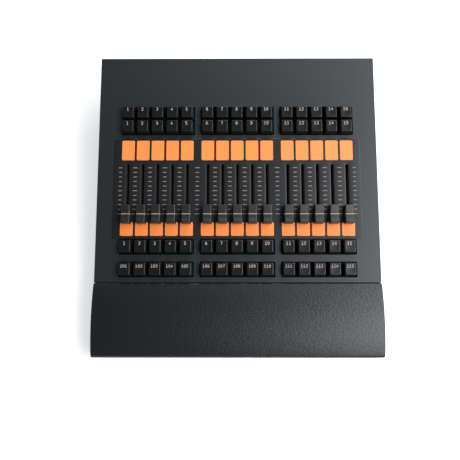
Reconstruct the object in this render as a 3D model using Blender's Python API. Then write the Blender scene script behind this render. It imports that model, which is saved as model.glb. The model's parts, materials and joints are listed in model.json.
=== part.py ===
"""Lighting fader wing: a desk-top unit with fifteen faders and sixty keys on a sloping panel, and a palm rest.

Metres. +X is to the operator's right, +Y to the back and +Z up. The origin is on the table, under the middle.
The sloping pieces are modelled on the deck, an empty whose X and Y lie on the panel's upper face, with Y up
the slope and zero at the faders' bottom scale mark. On the deck, heights are along the panel's normal.
"""

import math

import bmesh
import bpy
from mathutils import Matrix, Vector

# Clearances
SEAT_GAP = 0.0003  # between faces that rest on each other
SLIDE_GAP = 0.0003  # round a key stem in its well and a fader blade in its track
LABEL_GAP = 0.0002  # round a label field in its window
WINDOW_GAP = 0.0008  # between the keys and the edge of their window
CAP_GAP = 0.0005  # between a fader cap and the fader plate
STROKE_ROOM = 0.0005  # left under a stem or a blade

# Channels
GROUPS = 3
GROUP_SIZE = 5
GROUP_SPACE = 0.0075  # extra space between two groups
CHANNELS = GROUPS * GROUP_SIZE

# Case
PANEL_SLOPE = math.radians(7.5)
PANEL_SIDE = 0.02165  # from the fader plate to the panel's side edge
PANEL_FRONT_STRIP = 0.00745  # in front of the front key row
PANEL_REAR_STRIP = 0.06785  # behind the rear key row
PANEL_THICKNESS = 0.002
FLANGE_DEPTH = 0.010
DECK_HEIGHT = 0.052  # of the faders' zero mark over the table
SHEET = 0.0015  # the tray's metal
FOLD_RADIUS = 0.002
REAR_OVERHANG = 0.003  # of the panel past the rear wall

# Palm rest
GROOVE = 0.0009  # between the panel and the palm rest
PALM_OVERLAP = 0.00055  # past the panel's side edges
PALM_DEPTH = 0.0899
PALM_STEP = 0.0003  # its back edge over the panel
PALM_FALL = 0.0095  # its front edge under its back edge
PALM_CROWN = 0.0056  # the arc's height over a straight line
PALM_WALL = 0.003
PALM_BACK_RADIUS = 0.0025
PALM_NOSE_RADIUS = 0.004
PALM_END_RADIUS = 0.001
PALM_ARC_STEPS = 12
PALM_RIBS = 3
PALM_RIB_THICKNESS = 0.0025
PALM_RIB_FOOT = 0.018  # height of the ribs' lower edge over the table
PALM_BOSS_DIAMETER = 0.008
TONGUE_LIP = 0.010  # height of the fold at the tray's front tongue

# Feet
FOOT_HEIGHT = 0.0047
FOOT_DIAMETER = 0.016
FOOT_CHAMFER = 0.001
FOOT_INSET = 0.024  # from the tray's sides and rear, and from the palm rest's front

# Fader plate and its label strips
PLATE_SIDE = 0.00905  # past the outer label fields
PLATE_FRONT_STRIP = 0.0034
PLATE_REAR_STRIP = 0.0031
PLATE_THICKNESS = 0.0012
PLATE_CORNER = 0.0015
PLATE_LAP = 0.006  # of the plate over the edge of the panel's fader window
LABEL_SPACE = 0.0017  # between two fields
LABEL_CORNER = 0.0016
UPPER_LABEL_LENGTH = 0.0260
UPPER_LABEL_SPACE = 0.0053  # from the slots' rear ends
LOWER_LABEL_LENGTH = 0.0175
LOWER_LABEL_SPACE = 0.0046  # from the slots' front ends
LABEL_PROUD = 0.0002
STRIP_THICKNESS = 0.0012
STRIP_MARGIN = 0.0013

# Faders
FADER_REST = -0.0015  # the index line at the bottom stop
FADER_TRAVEL = 0.0615
SLOT_WIDTH = 0.0038
SLOT_END_ROOM = 0.0016  # past the blade at either end of its travel
BLADE_LENGTH = 0.006
BLADE_THICKNESS = 0.0012
BLADE_REACH = 0.010  # under the panel's upper face
CAP_LENGTH = 0.0232
CAP_WIDTH = 0.0120
CAP_TOP_WIDTH = 0.0112
CAP_HEIGHT = 0.0110
CAP_DIP = 0.0020  # of the finger saddle, at the index line
CAP_END_FALL = 0.0016  # of the cap's two ends
CAP_EDGE = 0.0010  # width of the chamfer along its upper edges
CAP_STEPS = 4  # from an end to the index line
TRACK_WIDTH = 0.009
TRACK_END = 0.01025  # past the blade's travel at either end
TRACK_TOP = -0.0035
TRACK_EAR = 0.005

# Keys
UPPER_KEY_SPACE = 0.00515  # between the fader plate and the upper keys
UPPER_ROW_SPACE = 0.0015  # between the two upper rows
FLASH_KEY_SPACE = 0.00155  # between the fader plate and the row in front of it
BUTTON_SPACE = 0.0107  # between the two lower rows
KEY_SPACE = 0.0016  # between neighbours in a row
KEY_WIDTH = 0.0174
KEY_LENGTH = 0.0177
KEY_TOP_WIDTH = 0.0132
KEY_TOP_LENGTH = 0.0143
KEY_TOP_SHIFT = 0.0006  # of the face, to the back
KEY_TOP = 0.0085
KEY_SKIRT = -0.0010
KEY_CORNER = 0.0012
KEY_TOP_CORNER = 0.0009
KEY_ROLL = 0.0004  # chamfer round the face
KEY_WALL = 0.0013
KEY_TRAVEL = 0.0015
STEM_SIDE = 0.0038
STEM_REACH = 0.0095  # under the panel's upper face
SWITCH_SIDE = 0.0138
SWITCH_TOP = -0.0045

# Boards
BOARD_SIDE = 0.0165  # past the outer channels' centres
BOARD_THICKNESS = 0.0016
BOARD_TOP = -0.013
BOARD_MARGIN = 0.012  # past the outer key rows' centres
BOARD_SPLIT_SPACE = 0.0005  # of the boards' split behind the fader plate
BOARD_SPLIT_GAP = 0.002
STUD_DIAMETER = 0.005
STUD_INSET = 0.003  # from the board's edge
JOINT_DEPTH = 0.0005  # how far two joined shapes reach into each other

# Rear connectors and the supply
CONNECTOR_HEIGHT = 0.038
INLET_FROM_SIDE = 0.05985
INLET_FLANGE_WIDTH = 0.0490
INLET_FLANGE_HEIGHT = 0.0226
INLET_FLANGE_THICKNESS = 0.0024
INLET_BODY_WIDTH = 0.0276
INLET_BODY_HEIGHT = 0.0206
INLET_BODY_DEPTH = 0.0210
INLET_MOUTH_WIDTH = 0.0240
INLET_MOUTH_HEIGHT = 0.0166
INLET_MOUTH_CORNER = 0.0042
INLET_MOUTH_DEPTH = 0.0172
PIN_WIDTH = 0.0020
PIN_HEIGHT = 0.0040
PIN_LENGTH = 0.0122
PIN_SPACING = 0.0070
EARTH_PIN_RISE = 0.0040
USB_SPACING = 0.060  # from the inlet, towards the middle
USB_FLANGE_WIDTH = 0.026
USB_FLANGE_HEIGHT = 0.031
USB_FLANGE_THICKNESS = 0.002
USB_FLANGE_CORNER = 0.003
USB_BODY_DIAMETER = 0.0236
USB_BODY_DEPTH = 0.020
USB_MOUTH_WIDTH = 0.00845
USB_MOUTH_HEIGHT = 0.00778
USB_MOUTH_CORNER = 0.0016
USB_MOUTH_DEPTH = 0.0100
USB_TONGUE_WIDTH = 0.0056
USB_TONGUE_HEIGHT = 0.0032
USB_TONGUE_LENGTH = 0.0088
VENT_FROM_SIDE = 0.07485
VENT_COUNT = 9
VENT_PITCH = 0.008
VENT_WIDTH = 0.003
VENT_HEIGHT = 0.022
SUPPLY_SHIFT = 0.018  # from the inlet, towards the middle
SUPPLY_LENGTH = 0.098
SUPPLY_DEPTH = 0.058
SUPPLY_HEIGHT = 0.028
SUPPLY_STAND_OFF = 0.045  # from the rear wall
SUPPLY_TAB = 0.008
SUPPLY_EDGE = 0.001

# Worked out, across
KEY_PITCH = KEY_WIDTH + KEY_SPACE
LABEL_WIDTH = KEY_PITCH - LABEL_SPACE
OUTER_CHANNEL = KEY_PITCH * (CHANNELS - 1) / 2 + GROUP_SPACE * (GROUPS - 1) / 2
PLATE_WIDTH = 2 * (OUTER_CHANNEL + LABEL_WIDTH / 2 + PLATE_SIDE)
PANEL_WIDTH = PLATE_WIDTH + 2 * PANEL_SIDE
PALM_WIDTH = PANEL_WIDTH + 2 * PALM_OVERLAP
BOARD_WIDTH = 2 * (OUTER_CHANNEL + BOARD_SIDE)
INLET_X = PANEL_WIDTH / 2 - INLET_FROM_SIDE
USB_X = INLET_X - USB_SPACING
SUPPLY_X = INLET_X - SUPPLY_SHIFT
VENT_X = VENT_FROM_SIDE - PANEL_WIDTH / 2

# Worked out, up the slope from the faders' zero mark
SLOT_REACH = BLADE_LENGTH / 2 + SLOT_END_ROOM
SLOT_FRONT = FADER_REST - SLOT_REACH
SLOT_REAR = FADER_REST + FADER_TRAVEL + SLOT_REACH
UPPER_LABEL_FRONT = SLOT_REAR + UPPER_LABEL_SPACE
UPPER_LABEL_REAR = UPPER_LABEL_FRONT + UPPER_LABEL_LENGTH
LOWER_LABEL_REAR = SLOT_FRONT - LOWER_LABEL_SPACE
LOWER_LABEL_FRONT = LOWER_LABEL_REAR - LOWER_LABEL_LENGTH
PLATE_FRONT = LOWER_LABEL_FRONT - PLATE_FRONT_STRIP
PLATE_REAR = UPPER_LABEL_REAR + PLATE_REAR_STRIP
STRIP_FRONT = LOWER_LABEL_FRONT - STRIP_MARGIN
STRIP_REAR = UPPER_LABEL_REAR + STRIP_MARGIN
FRONT_UPPER_ROW = PLATE_REAR + UPPER_KEY_SPACE + KEY_LENGTH / 2
REAR_UPPER_ROW = FRONT_UPPER_ROW + KEY_LENGTH + UPPER_ROW_SPACE
UPPER_ROWS = (REAR_UPPER_ROW, FRONT_UPPER_ROW)
FLASH_ROW = PLATE_FRONT - FLASH_KEY_SPACE - KEY_LENGTH / 2
BUTTON_ROW = FLASH_ROW - KEY_LENGTH - BUTTON_SPACE
PANEL_FRONT = BUTTON_ROW - KEY_LENGTH / 2 - PANEL_FRONT_STRIP
PANEL_REAR = REAR_UPPER_ROW + KEY_LENGTH / 2 + PANEL_REAR_STRIP
TRACK_MIDDLE = FADER_REST + FADER_TRAVEL / 2
TRACK_LENGTH = FADER_TRAVEL + BLADE_LENGTH + 2 * TRACK_END
BOARD_SPLIT = PLATE_REAR + BOARD_SPLIT_SPACE

# Worked out, heights
COS = math.cos(PANEL_SLOPE)
SIN = math.sin(PANEL_SLOPE)
PLATE_BOTTOM = SEAT_GAP
PLATE_TOP = PLATE_BOTTOM + PLATE_THICKNESS
STRIP_TOP = PLATE_BOTTOM - SEAT_GAP
STRIP_BOTTOM = STRIP_TOP - STRIP_THICKNESS
CAP_BOTTOM = PLATE_TOP + CAP_GAP
CAP_TOP = CAP_BOTTOM + CAP_HEIGHT
BOARD_BOTTOM = BOARD_TOP - BOARD_THICKNESS
FLOOR_BOTTOM = FOOT_HEIGHT + SEAT_GAP
FLOOR_TOP = FLOOR_BOTTOM + SHEET
UNDER_PANEL = -PANEL_THICKNESS - SEAT_GAP


def deck_offset(v, h=0.0):
    """Y and Z of a point on the deck, from the deck's own origin."""
    return v * COS - h * SIN, v * SIN + h * COS


PALM_BACK_OFFSET = deck_offset(PANEL_FRONT)[0] - GROOVE
DECK_Y = -(deck_offset(PANEL_REAR, -PANEL_THICKNESS)[0] + PALM_BACK_OFFSET - PALM_DEPTH) / 2
PALM_BACK = DECK_Y + PALM_BACK_OFFSET
PALM_FRONT = PALM_BACK - PALM_DEPTH
PALM_BACK_TOP = DECK_HEIGHT + deck_offset(PANEL_FRONT)[1] + PALM_STEP
TRAY_FRONT = DECK_Y + deck_offset(PANEL_FRONT, -PANEL_THICKNESS)[0] + SEAT_GAP
TRAY_REAR = DECK_Y + deck_offset(PANEL_REAR)[0] - REAR_OVERHANG


def channel_x(channel):
    """X of a channel's centre line; the channels count from 0 at the left."""
    group = channel // GROUP_SIZE
    return KEY_PITCH * (channel - (CHANNELS - 1) / 2) + GROUP_SPACE * (group - (GROUPS - 1) / 2)


def group_edges(group, piece_width):
    """Lowest and highest X of a group of pieces of this width."""
    first = channel_x(group * GROUP_SIZE)
    last = channel_x(group * GROUP_SIZE + GROUP_SIZE - 1)
    return first - piece_width / 2, last + piece_width / 2


def height_under_panel(y, h):
    """World Z, at this world Y, of the plane at height h over the panel's upper face."""
    return DECK_HEIGHT + (y - DECK_Y) * math.tan(PANEL_SLOPE) + h / COS


def rectangle(x0, y0, x1, y1):
    return [(x0, y0), (x1, y0), (x1, y1), (x0, y1)]


def cut_rectangle(x0, y0, x1, y1, corner):
    """A rectangle with its four corners cut, anticlockwise from the lower left."""
    return [
        (x0 + corner, y0),
        (x1 - corner, y0),
        (x1, y0 + corner),
        (x1, y1 - corner),
        (x1 - corner, y1),
        (x0 + corner, y1),
        (x0, y1 - corner),
        (x0, y0 + corner),
    ]


def slot(x, y0, y1, width, steps=5):
    """A slot with round ends, along Y."""
    radius = width / 2
    outline = []
    for centre, start in ((y1 - radius, 0.0), (y0 + radius, math.pi)):
        for step in range(steps + 1):
            angle = start + math.pi * step / steps
            outline.append((x + radius * math.cos(angle), centre + radius * math.sin(angle)))
    return outline


def circle(x, y, diameter, steps):
    turn = 2 * math.pi / steps
    radius = diameter / 2
    return [(x + radius * math.cos(k * turn), y + radius * math.sin(k * turn)) for k in range(steps)]


def rounded(points, radii, steps):
    """A polygon with a round corner wherever its radius isn't zero."""
    outline = []
    for index, radius in enumerate(radii):
        here = Vector(points[index])
        if not radius:
            outline.append(tuple(here))
            continue
        before = (Vector(points[index - 1]) - here).normalized()
        after = (Vector(points[(index + 1) % len(points)]) - here).normalized()
        half = before.angle(after) / 2
        centre = here + (before + after).normalized() * (radius / math.sin(half))
        start = here + before * (radius / math.tan(half)) - centre
        end = here + after * (radius / math.tan(half)) - centre
        sweep = start.angle_signed(end)
        for step in range(steps + 1):
            outline.append(tuple(centre + Matrix.Rotation(-sweep * step / steps, 2) @ start))
    return outline


def mesh_of(name, build):
    """A mesh that the function build fills in."""
    work = bmesh.new()
    build(work)
    bmesh.ops.recalc_face_normals(work, faces=work.faces)
    mesh = bpy.data.meshes.new(name)
    work.to_mesh(mesh)
    work.free()
    return mesh


def loft_into(work, rings):
    """Skins rings of as many points each, and closes both ends."""
    rows = [[work.verts.new(point) for point in ring] for ring in rings]
    for low, high in zip(rows, rows[1:]):
        for index in range(len(low)):
            after = (index + 1) % len(low)
            work.faces.new((low[index], low[after], high[after], high[index]))
    work.faces.new(rows[0])
    work.faces.new(rows[-1])


def loft(name, rings):
    return mesh_of(name, lambda work: loft_into(work, rings))


def level(outline, height):
    return [(x, y, height) for x, y in outline]


def along_x(outline, x):
    return [(x, y, z) for y, z in outline]


def along_y(outline, y):
    return [(x, y, z) for x, z in outline]


def prisms(name, outlines, low, high, place=level):
    """One closed prism for each outline, from low to high along the axis that place gives."""

    def build(work):
        for outline in outlines:
            loft_into(work, [place(outline, low), place(outline, high)])

    return mesh_of(name, build)


def sheet(name, outline, holes, low, high):
    """A flat plate with holes: a filled 2D curve, extruded, as a mesh."""
    curve = bpy.data.curves.new(name, "CURVE")
    curve.dimensions = "2D"
    curve.fill_mode = "BOTH"
    curve.extrude = (high - low) / 2
    for points in [outline, *holes]:
        spline = curve.splines.new("POLY")
        spline.points.add(len(points) - 1)
        for point, (x, y) in zip(spline.points, points):
            point.co = (x, y, 0.0, 1.0)
        spline.use_cyclic_u = True
    drawn = bpy.data.objects.new(name, curve)
    bpy.context.collection.objects.link(drawn)
    mesh = evaluated_mesh(name, drawn)
    work = bmesh.new()
    work.from_mesh(mesh)
    bmesh.ops.remove_doubles(work, verts=work.verts, dist=0.00001)
    bmesh.ops.translate(work, verts=work.verts, vec=(0.0, 0.0, (low + high) / 2))
    bmesh.ops.recalc_face_normals(work, faces=work.faces)
    work.to_mesh(mesh)
    work.free()
    return mesh


def evaluated_mesh(name, made):
    """The object's mesh with its modifiers applied; the object itself is removed."""
    graph = bpy.context.evaluated_depsgraph_get()
    mesh = bpy.data.meshes.new_from_object(made.evaluated_get(graph))
    mesh.name = name
    bpy.data.objects.remove(made)
    return mesh


def material(name, colour, roughness, metallic=0.0):
    made = bpy.data.materials.new(name)
    made.use_nodes = True
    shader = made.node_tree.nodes["Principled BSDF"]
    shader.inputs["Base Color"].default_value = (*colour, 1.0)
    shader.inputs["Roughness"].default_value = roughness
    shader.inputs["Metallic"].default_value = metallic
    return made


def add(name, mesh, finish=None, parent=None, location=(0.0, 0.0, 0.0)):
    """A named object of this mesh; on a shared mesh, each object carries its own material."""
    made = bpy.data.objects.new(name, mesh)
    bpy.context.collection.objects.link(made)
    made.parent = parent
    made.location = location
    if finish:
        if not mesh.materials:
            mesh.materials.append(None)
        made.material_slots[0].link = "OBJECT"
        made.material_slots[0].material = material(name, *finish)
    return made


def helper(name, mesh, parent=None):
    """A shape that only cuts or joins another."""
    made = add(name, mesh, parent=parent)
    made.hide_render = True
    made.display_type = "WIRE"
    return made


def boolean(target, operation, other):
    change = target.modifiers.new(other.name, "BOOLEAN")
    change.operation = operation
    change.object = other
    change.solver = "EXACT"


def cut(target, *others):
    for other in others:
        boolean(target, "DIFFERENCE", other)


def join(target, *others):
    for other in others:
        boolean(target, "UNION", other)


def smooth(mesh):
    mesh.shade_smooth()
    mesh.set_sharp_from_angle(angle=math.radians(30))
    return mesh


DARK_METAL = ((0.045, 0.048, 0.055), 0.5)
PALM_PLASTIC = ((0.035, 0.036, 0.040), 0.55)
PLATE_METAL = ((0.030, 0.031, 0.034), 0.45)
KEY_PLASTIC = ((0.012, 0.012, 0.013), 0.35)
CAP_PLASTIC = ((0.030, 0.030, 0.033), 0.4)
ORANGE = ((0.95, 0.30, 0.07), 0.6)
BOARD_GREEN = ((0.02, 0.10, 0.05), 0.5)
CONNECTOR_BLACK = ((0.015, 0.015, 0.016), 0.45)
NICKEL = ((0.55, 0.54, 0.52), 0.3, 1.0)
ZINC = ((0.42, 0.43, 0.45), 0.4, 1.0)
RUBBER = ((0.020, 0.020, 0.020), 0.85)


def palm_arc(inset):
    """The palm rest's crowned top as points from its back to its front, set in by a wall thickness."""
    start = Vector((PALM_BACK, PALM_BACK_TOP))
    end = Vector((PALM_FRONT, PALM_BACK_TOP - PALM_FALL))
    half = (end - start).length / 2
    radius = (half * half + PALM_CROWN * PALM_CROWN) / (2 * PALM_CROWN)
    up = Vector((start.y - end.y, end.x - start.x)).normalized()
    up = up if up.y > 0 else -up
    centre = (start + end) / 2 - up * (radius - PALM_CROWN)
    reach = math.asin(half / radius)
    middle = math.atan2(up.y, up.x)
    points = []
    for step in range(PALM_ARC_STEPS + 1):
        angle = middle - reach + 2 * reach * step / PALM_ARC_STEPS
        direction = Vector((math.cos(angle), math.sin(angle)))
        points.append(tuple(centre + direction * (radius - inset)))
    return points


def palm_outline():
    arc = palm_arc(0.0)
    corners = [(PALM_FRONT, FLOOR_BOTTOM), (PALM_BACK, FLOOR_BOTTOM), *arc]
    radii = [0.0, 0.0, PALM_BACK_RADIUS, *[0.0] * (len(arc) - 2), PALM_NOSE_RADIUS]
    return rounded(corners, radii, 3)


def palm_hollow_outline():
    """The inside of the palm rest, open at its back and its bottom."""
    arc = [point for point in palm_arc(PALM_WALL) if point[0] > PALM_FRONT + PALM_WALL]
    front = PALM_FRONT + PALM_WALL
    past_back = PALM_BACK + PALM_WALL
    under = FLOOR_BOTTOM - PALM_WALL
    return [(front, under), (past_back, under), (past_back, arc[0][1]), *arc, (front, arc[-1][1])]


def palm_height(y):
    """World Z of the palm rest's top at this world Y."""
    arc = palm_arc(0.0)
    for (y0, z0), (y1, z1) in zip(arc, arc[1:]):
        if y1 <= y <= y0:
            return z0 + (z1 - z0) * (y - y0) / (y1 - y0)
    return arc[0][1]


def rib_bays():
    """The X ranges between the end walls and the ribs."""
    inner = PALM_WIDTH / 2 - PALM_WALL
    pitch = 2 * inner / (PALM_RIBS + 1)
    bays = []
    for bay in range(PALM_RIBS + 1):
        low = -inner + pitch * bay + (PALM_RIB_THICKNESS / 2 if bay else 0.0)
        high = -inner + pitch * (bay + 1) - (PALM_RIB_THICKNESS / 2 if bay < PALM_RIBS else 0.0)
        bays.append((low, high))
    return bays


def palm_rest():
    half = PALM_WIDTH / 2
    outer = prisms("palm_rest", [palm_outline()], -half, half, along_x)
    work = bmesh.new()
    work.from_mesh(outer)
    rims = [edge for edge in work.edges if abs(abs(edge.verts[0].co.x) - half) < 1e-6]
    rims = [edge for edge in rims if abs(edge.verts[0].co.x - edge.verts[1].co.x) < 1e-6]
    rims = [edge for edge in rims if max(v.co.z for v in edge.verts) > FLOOR_TOP]
    rims = [edge for edge in rims if max(v.co.y for v in edge.verts) < PALM_BACK - PALM_BACK_RADIUS / 2]
    bmesh.ops.bevel(work, geom=rims, offset=PALM_END_RADIUS, segments=2, profile=0.5, affect="EDGES")
    work.to_mesh(outer)
    work.free()
    rest = add("palm_rest", smooth(outer), PALM_PLASTIC)

    def hollows(work):
        for low, high in rib_bays():
            outline = palm_hollow_outline()
            loft_into(work, [along_x(outline, low), along_x(outline, high)])

    cut(rest, helper("palm_bays", mesh_of("palm_bays", hollows)))
    inner = half - PALM_WALL
    under_ribs = rectangle(
        PALM_FRONT + PALM_WALL, FLOOR_BOTTOM - PALM_WALL, PALM_BACK + PALM_WALL, PALM_RIB_FOOT
    )
    cut(rest, helper("palm_foot_room", prisms("palm_foot_room", [under_ribs], -inner, inner, along_x)))
    middle = (PALM_FRONT + PALM_BACK) / 2
    outlines = [circle((low + high) / 2, middle, PALM_BOSS_DIAMETER, 12) for low, high in rib_bays()]
    top = palm_height(middle) - PALM_WALL / 2
    join(rest, helper("palm_bosses", prisms("palm_bosses", outlines, FLOOR_TOP + SEAT_GAP, top)))


def base_tray():
    """The folded tray: floor, two side walls, front and rear wall, and the tongue under the palm rest."""
    half = PANEL_WIDTH / 2

    def wedge(inset, floor, top):
        low, high = TRAY_FRONT + inset, TRAY_REAR - inset
        return [
            (low, floor),
            (high, floor),
            (high, height_under_panel(high, top)),
            (low, height_under_panel(low, top)),
        ]

    def build(work):
        outline = wedge(0.0, FLOOR_BOTTOM, UNDER_PANEL)
        loft_into(work, [along_x(outline, -half), along_x(outline, half)])
        folds = [edge for edge in work.edges if max(v.co.z for v in edge.verts) < FLOOR_TOP]
        bmesh.ops.bevel(work, geom=folds, offset=FOLD_RADIUS, segments=2, profile=0.5, affect="EDGES")

    tray = add("base_tray", mesh_of("base_tray", build), DARK_METAL)
    tongue = [
        (PALM_FRONT + PALM_WALL + SEAT_GAP, FLOOR_BOTTOM),
        (TRAY_FRONT + FOLD_RADIUS + SHEET, FLOOR_BOTTOM),
        (TRAY_FRONT + FOLD_RADIUS + SHEET, FLOOR_TOP),
        (PALM_FRONT + PALM_WALL + SEAT_GAP + SHEET, FLOOR_TOP),
        (PALM_FRONT + PALM_WALL + SEAT_GAP + SHEET, FLOOR_BOTTOM + TONGUE_LIP),
        (PALM_FRONT + PALM_WALL + SEAT_GAP, FLOOR_BOTTOM + TONGUE_LIP),
    ]
    reach = PALM_WIDTH / 2 - PALM_WALL - SEAT_GAP
    join(tray, helper("tray_tongue", prisms("tray_tongue", [tongue], -reach, reach, along_x)))
    inside = wedge(SHEET, FLOOR_TOP, PANEL_THICKNESS)
    hollow = prisms("tray_hollow", [inside], SHEET - half, half - SHEET, along_x)
    cut(tray, helper("tray_hollow", hollow))
    z = CONNECTOR_HEIGHT
    wide = INLET_BODY_WIDTH / 2 + SEAT_GAP
    high = INLET_BODY_HEIGHT / 2 + SEAT_GAP
    holes = [rectangle(INLET_X - wide, z - high, INLET_X + wide, z + high)]
    holes.append(circle(USB_X, z, USB_BODY_DIAMETER + 2 * SEAT_GAP, 20))
    for vent in range(VENT_COUNT):
        x = VENT_X + VENT_PITCH * (vent - (VENT_COUNT - 1) / 2)
        holes.append(slot(x, z - VENT_HEIGHT / 2, z + VENT_HEIGHT / 2, VENT_WIDTH, 4))
    cutter = prisms("rear_holes", holes, TRAY_REAR - 2 * SHEET, TRAY_REAR + SHEET, along_y)
    cut(tray, helper("rear_holes", cutter))


def stud_places():
    """Where the panel's studs meet the boards, on the deck."""
    side = BOARD_WIDTH / 2 - STUD_INSET
    between = (channel_x(GROUP_SIZE - 1) + channel_x(GROUP_SIZE)) / 2
    upper = (FRONT_UPPER_ROW + REAR_UPPER_ROW) / 2
    lower = (FLASH_ROW + BUTTON_ROW) / 2
    main_middle = (PLATE_FRONT + PLATE_REAR) / 2
    rows = [(side, upper), (between, upper), (side, lower), (between, lower), (side, main_middle)]
    return [(sign * x, v) for x, v in rows for sign in (-1, 1)]


def key_windows():
    """Openings for the keys: one for each group of the two upper rows together, and of each lower row."""
    rows = [(FRONT_UPPER_ROW, REAR_UPPER_ROW), (FLASH_ROW, FLASH_ROW), (BUTTON_ROW, BUTTON_ROW)]
    reach = KEY_LENGTH / 2 + WINDOW_GAP
    windows = []
    for low, high in rows:
        for group in range(GROUPS):
            x0, x1 = group_edges(group, KEY_WIDTH + 2 * WINDOW_GAP)
            windows.append(cut_rectangle(x0, low - reach, x1, high + reach, KEY_CORNER))
    return windows


def top_panel(deck):
    half = PANEL_WIDTH / 2
    outline = rectangle(-half, PANEL_FRONT, half, PANEL_REAR)
    lap = PLATE_WIDTH / 2 - PLATE_LAP
    fader_window = cut_rectangle(
        -lap, STRIP_FRONT - SEAT_GAP, lap, STRIP_REAR + SEAT_GAP, PLATE_CORNER
    )
    windows = [*key_windows(), fader_window]
    panel = add(
        "top_panel",
        sheet("top_panel", outline, windows, -PANEL_THICKNESS, 0.0),
        DARK_METAL,
        deck,
    )
    flange_x = half - SHEET - SEAT_GAP
    flange_front = PANEL_FRONT + FLANGE_DEPTH
    flange_rear = PANEL_REAR - FLANGE_DEPTH
    flanges = [
        rectangle(sign * flange_x, flange_front, sign * (flange_x - PANEL_THICKNESS), flange_rear)
        for sign in (-1, 1)
    ]
    flange_low = -PANEL_THICKNESS - FLANGE_DEPTH
    joined_high = JOINT_DEPTH - PANEL_THICKNESS
    join(panel, helper("panel_flanges", prisms("panel_flanges", flanges, flange_low, joined_high), deck))
    studs = [circle(x, v, STUD_DIAMETER, 8) for x, v in stud_places()]
    stud_low = BOARD_TOP + SEAT_GAP
    join(panel, helper("panel_studs", prisms("panel_studs", studs, stud_low, joined_high), deck))


def label_fields(front, rear, margin=0.0):
    """The outlines of one row of label fields, or of the windows round them."""
    half = LABEL_WIDTH / 2 + margin
    return [
        cut_rectangle(x - half, front - margin, x + half, rear + margin, LABEL_CORNER)
        for x in map(channel_x, range(CHANNELS))
    ]


def fader_plate(deck):
    half = PLATE_WIDTH / 2
    outline = cut_rectangle(-half, PLATE_FRONT, half, PLATE_REAR, PLATE_CORNER)
    channels = map(channel_x, range(CHANNELS))
    holes = [slot(x, SLOT_FRONT, SLOT_REAR, SLOT_WIDTH) for x in channels]
    holes += label_fields(UPPER_LABEL_FRONT, UPPER_LABEL_REAR, LABEL_GAP)
    holes += label_fields(LOWER_LABEL_FRONT, LOWER_LABEL_REAR, LABEL_GAP)
    mesh = sheet("fader_plate", outline, holes, PLATE_BOTTOM, PLATE_TOP)
    add("fader_plate", mesh, PLATE_METAL, deck)


def label_strip(deck, name, front, rear):
    """A strip under the plate whose raised fields fill the plate's windows."""
    half = group_edges(GROUPS - 1, LABEL_WIDTH)[1] + STRIP_MARGIN
    base = rectangle(-half, front - STRIP_MARGIN, half, rear + STRIP_MARGIN)
    strip = add(name, prisms(name, [base], STRIP_BOTTOM, STRIP_TOP), ORANGE, deck)
    fields = label_fields(front, rear)
    pads = prisms(name + "_fields", fields, STRIP_TOP - JOINT_DEPTH, PLATE_TOP + LABEL_PROUD)
    join(strip, helper(name + "_fields", pads, deck))


def key_cap_into(work, x=0.0, v=0.0):
    """The outside of a key cap: a pyramid with a cut top, its face nearer the back."""
    rings = []
    for width, length, shift, corner, height in (
        (KEY_WIDTH, KEY_LENGTH, 0.0, KEY_CORNER, KEY_SKIRT),
        (KEY_TOP_WIDTH, KEY_TOP_LENGTH, KEY_TOP_SHIFT, KEY_TOP_CORNER, KEY_TOP - KEY_ROLL),
        (
            KEY_TOP_WIDTH - 2 * KEY_ROLL,
            KEY_TOP_LENGTH - 2 * KEY_ROLL,
            KEY_TOP_SHIFT,
            KEY_TOP_CORNER,
            KEY_TOP,
        ),
    ):
        y0 = v + shift - length / 2
        outline = cut_rectangle(x - width / 2, y0, x + width / 2, y0 + length, corner)
        rings.append(level(outline, height))
    loft_into(work, rings)


def square(x, v, side):
    return rectangle(x - side / 2, v - side / 2, x + side / 2, v + side / 2)


def key_mesh():
    """A hollow key cap with the stem that enters its switch."""
    cap = add("key_cap", mesh_of("key_cap", key_cap_into))
    ceiling = KEY_TOP - KEY_WALL
    low = rectangle(
        KEY_WALL - KEY_WIDTH / 2,
        KEY_WALL - KEY_LENGTH / 2,
        KEY_WIDTH / 2 - KEY_WALL,
        KEY_LENGTH / 2 - KEY_WALL,
    )
    high = rectangle(
        KEY_WALL - KEY_TOP_WIDTH / 2,
        KEY_WALL + KEY_TOP_SHIFT - KEY_TOP_LENGTH / 2,
        KEY_TOP_WIDTH / 2 - KEY_WALL,
        KEY_TOP_LENGTH / 2 + KEY_TOP_SHIFT - KEY_WALL,
    )
    under = [level(low, KEY_SKIRT - KEY_WALL), level(low, KEY_SKIRT), level(high, ceiling)]
    cut(cap, helper("key_hollow", loft("key_hollow", under)))
    stem = square(0.0, 0.0, STEM_SIDE)
    join(cap, helper("key_stem", prisms("key_stem", [stem], -STEM_REACH, ceiling + JOINT_DEPTH)))
    return evaluated_mesh("key", cap)


def fader_cap_rings():
    """Cross-sections of a fader cap from its front end to its back end, saddled at the index line."""
    stations = []
    half = CAP_LENGTH / 2
    end = half - CAP_END_FALL
    for step in range(-CAP_STEPS, CAP_STEPS + 1):
        share = step / CAP_STEPS
        stations.append((end * share, CAP_TOP - CAP_DIP * (1 - share * share)))
    stations = [(-half, CAP_TOP - CAP_END_FALL), *stations, (half, CAP_TOP - CAP_END_FALL)]
    low, high = CAP_WIDTH / 2, CAP_TOP_WIDTH / 2
    rings = []
    for v, top in stations:
        section = [
            (-low, CAP_BOTTOM),
            (low, CAP_BOTTOM),
            (high, top - CAP_EDGE),
            (high - CAP_EDGE, top),
            (CAP_EDGE - high, top),
            (-high, top - CAP_EDGE),
        ]
        rings.append(along_y(section, v))
    return rings


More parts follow.
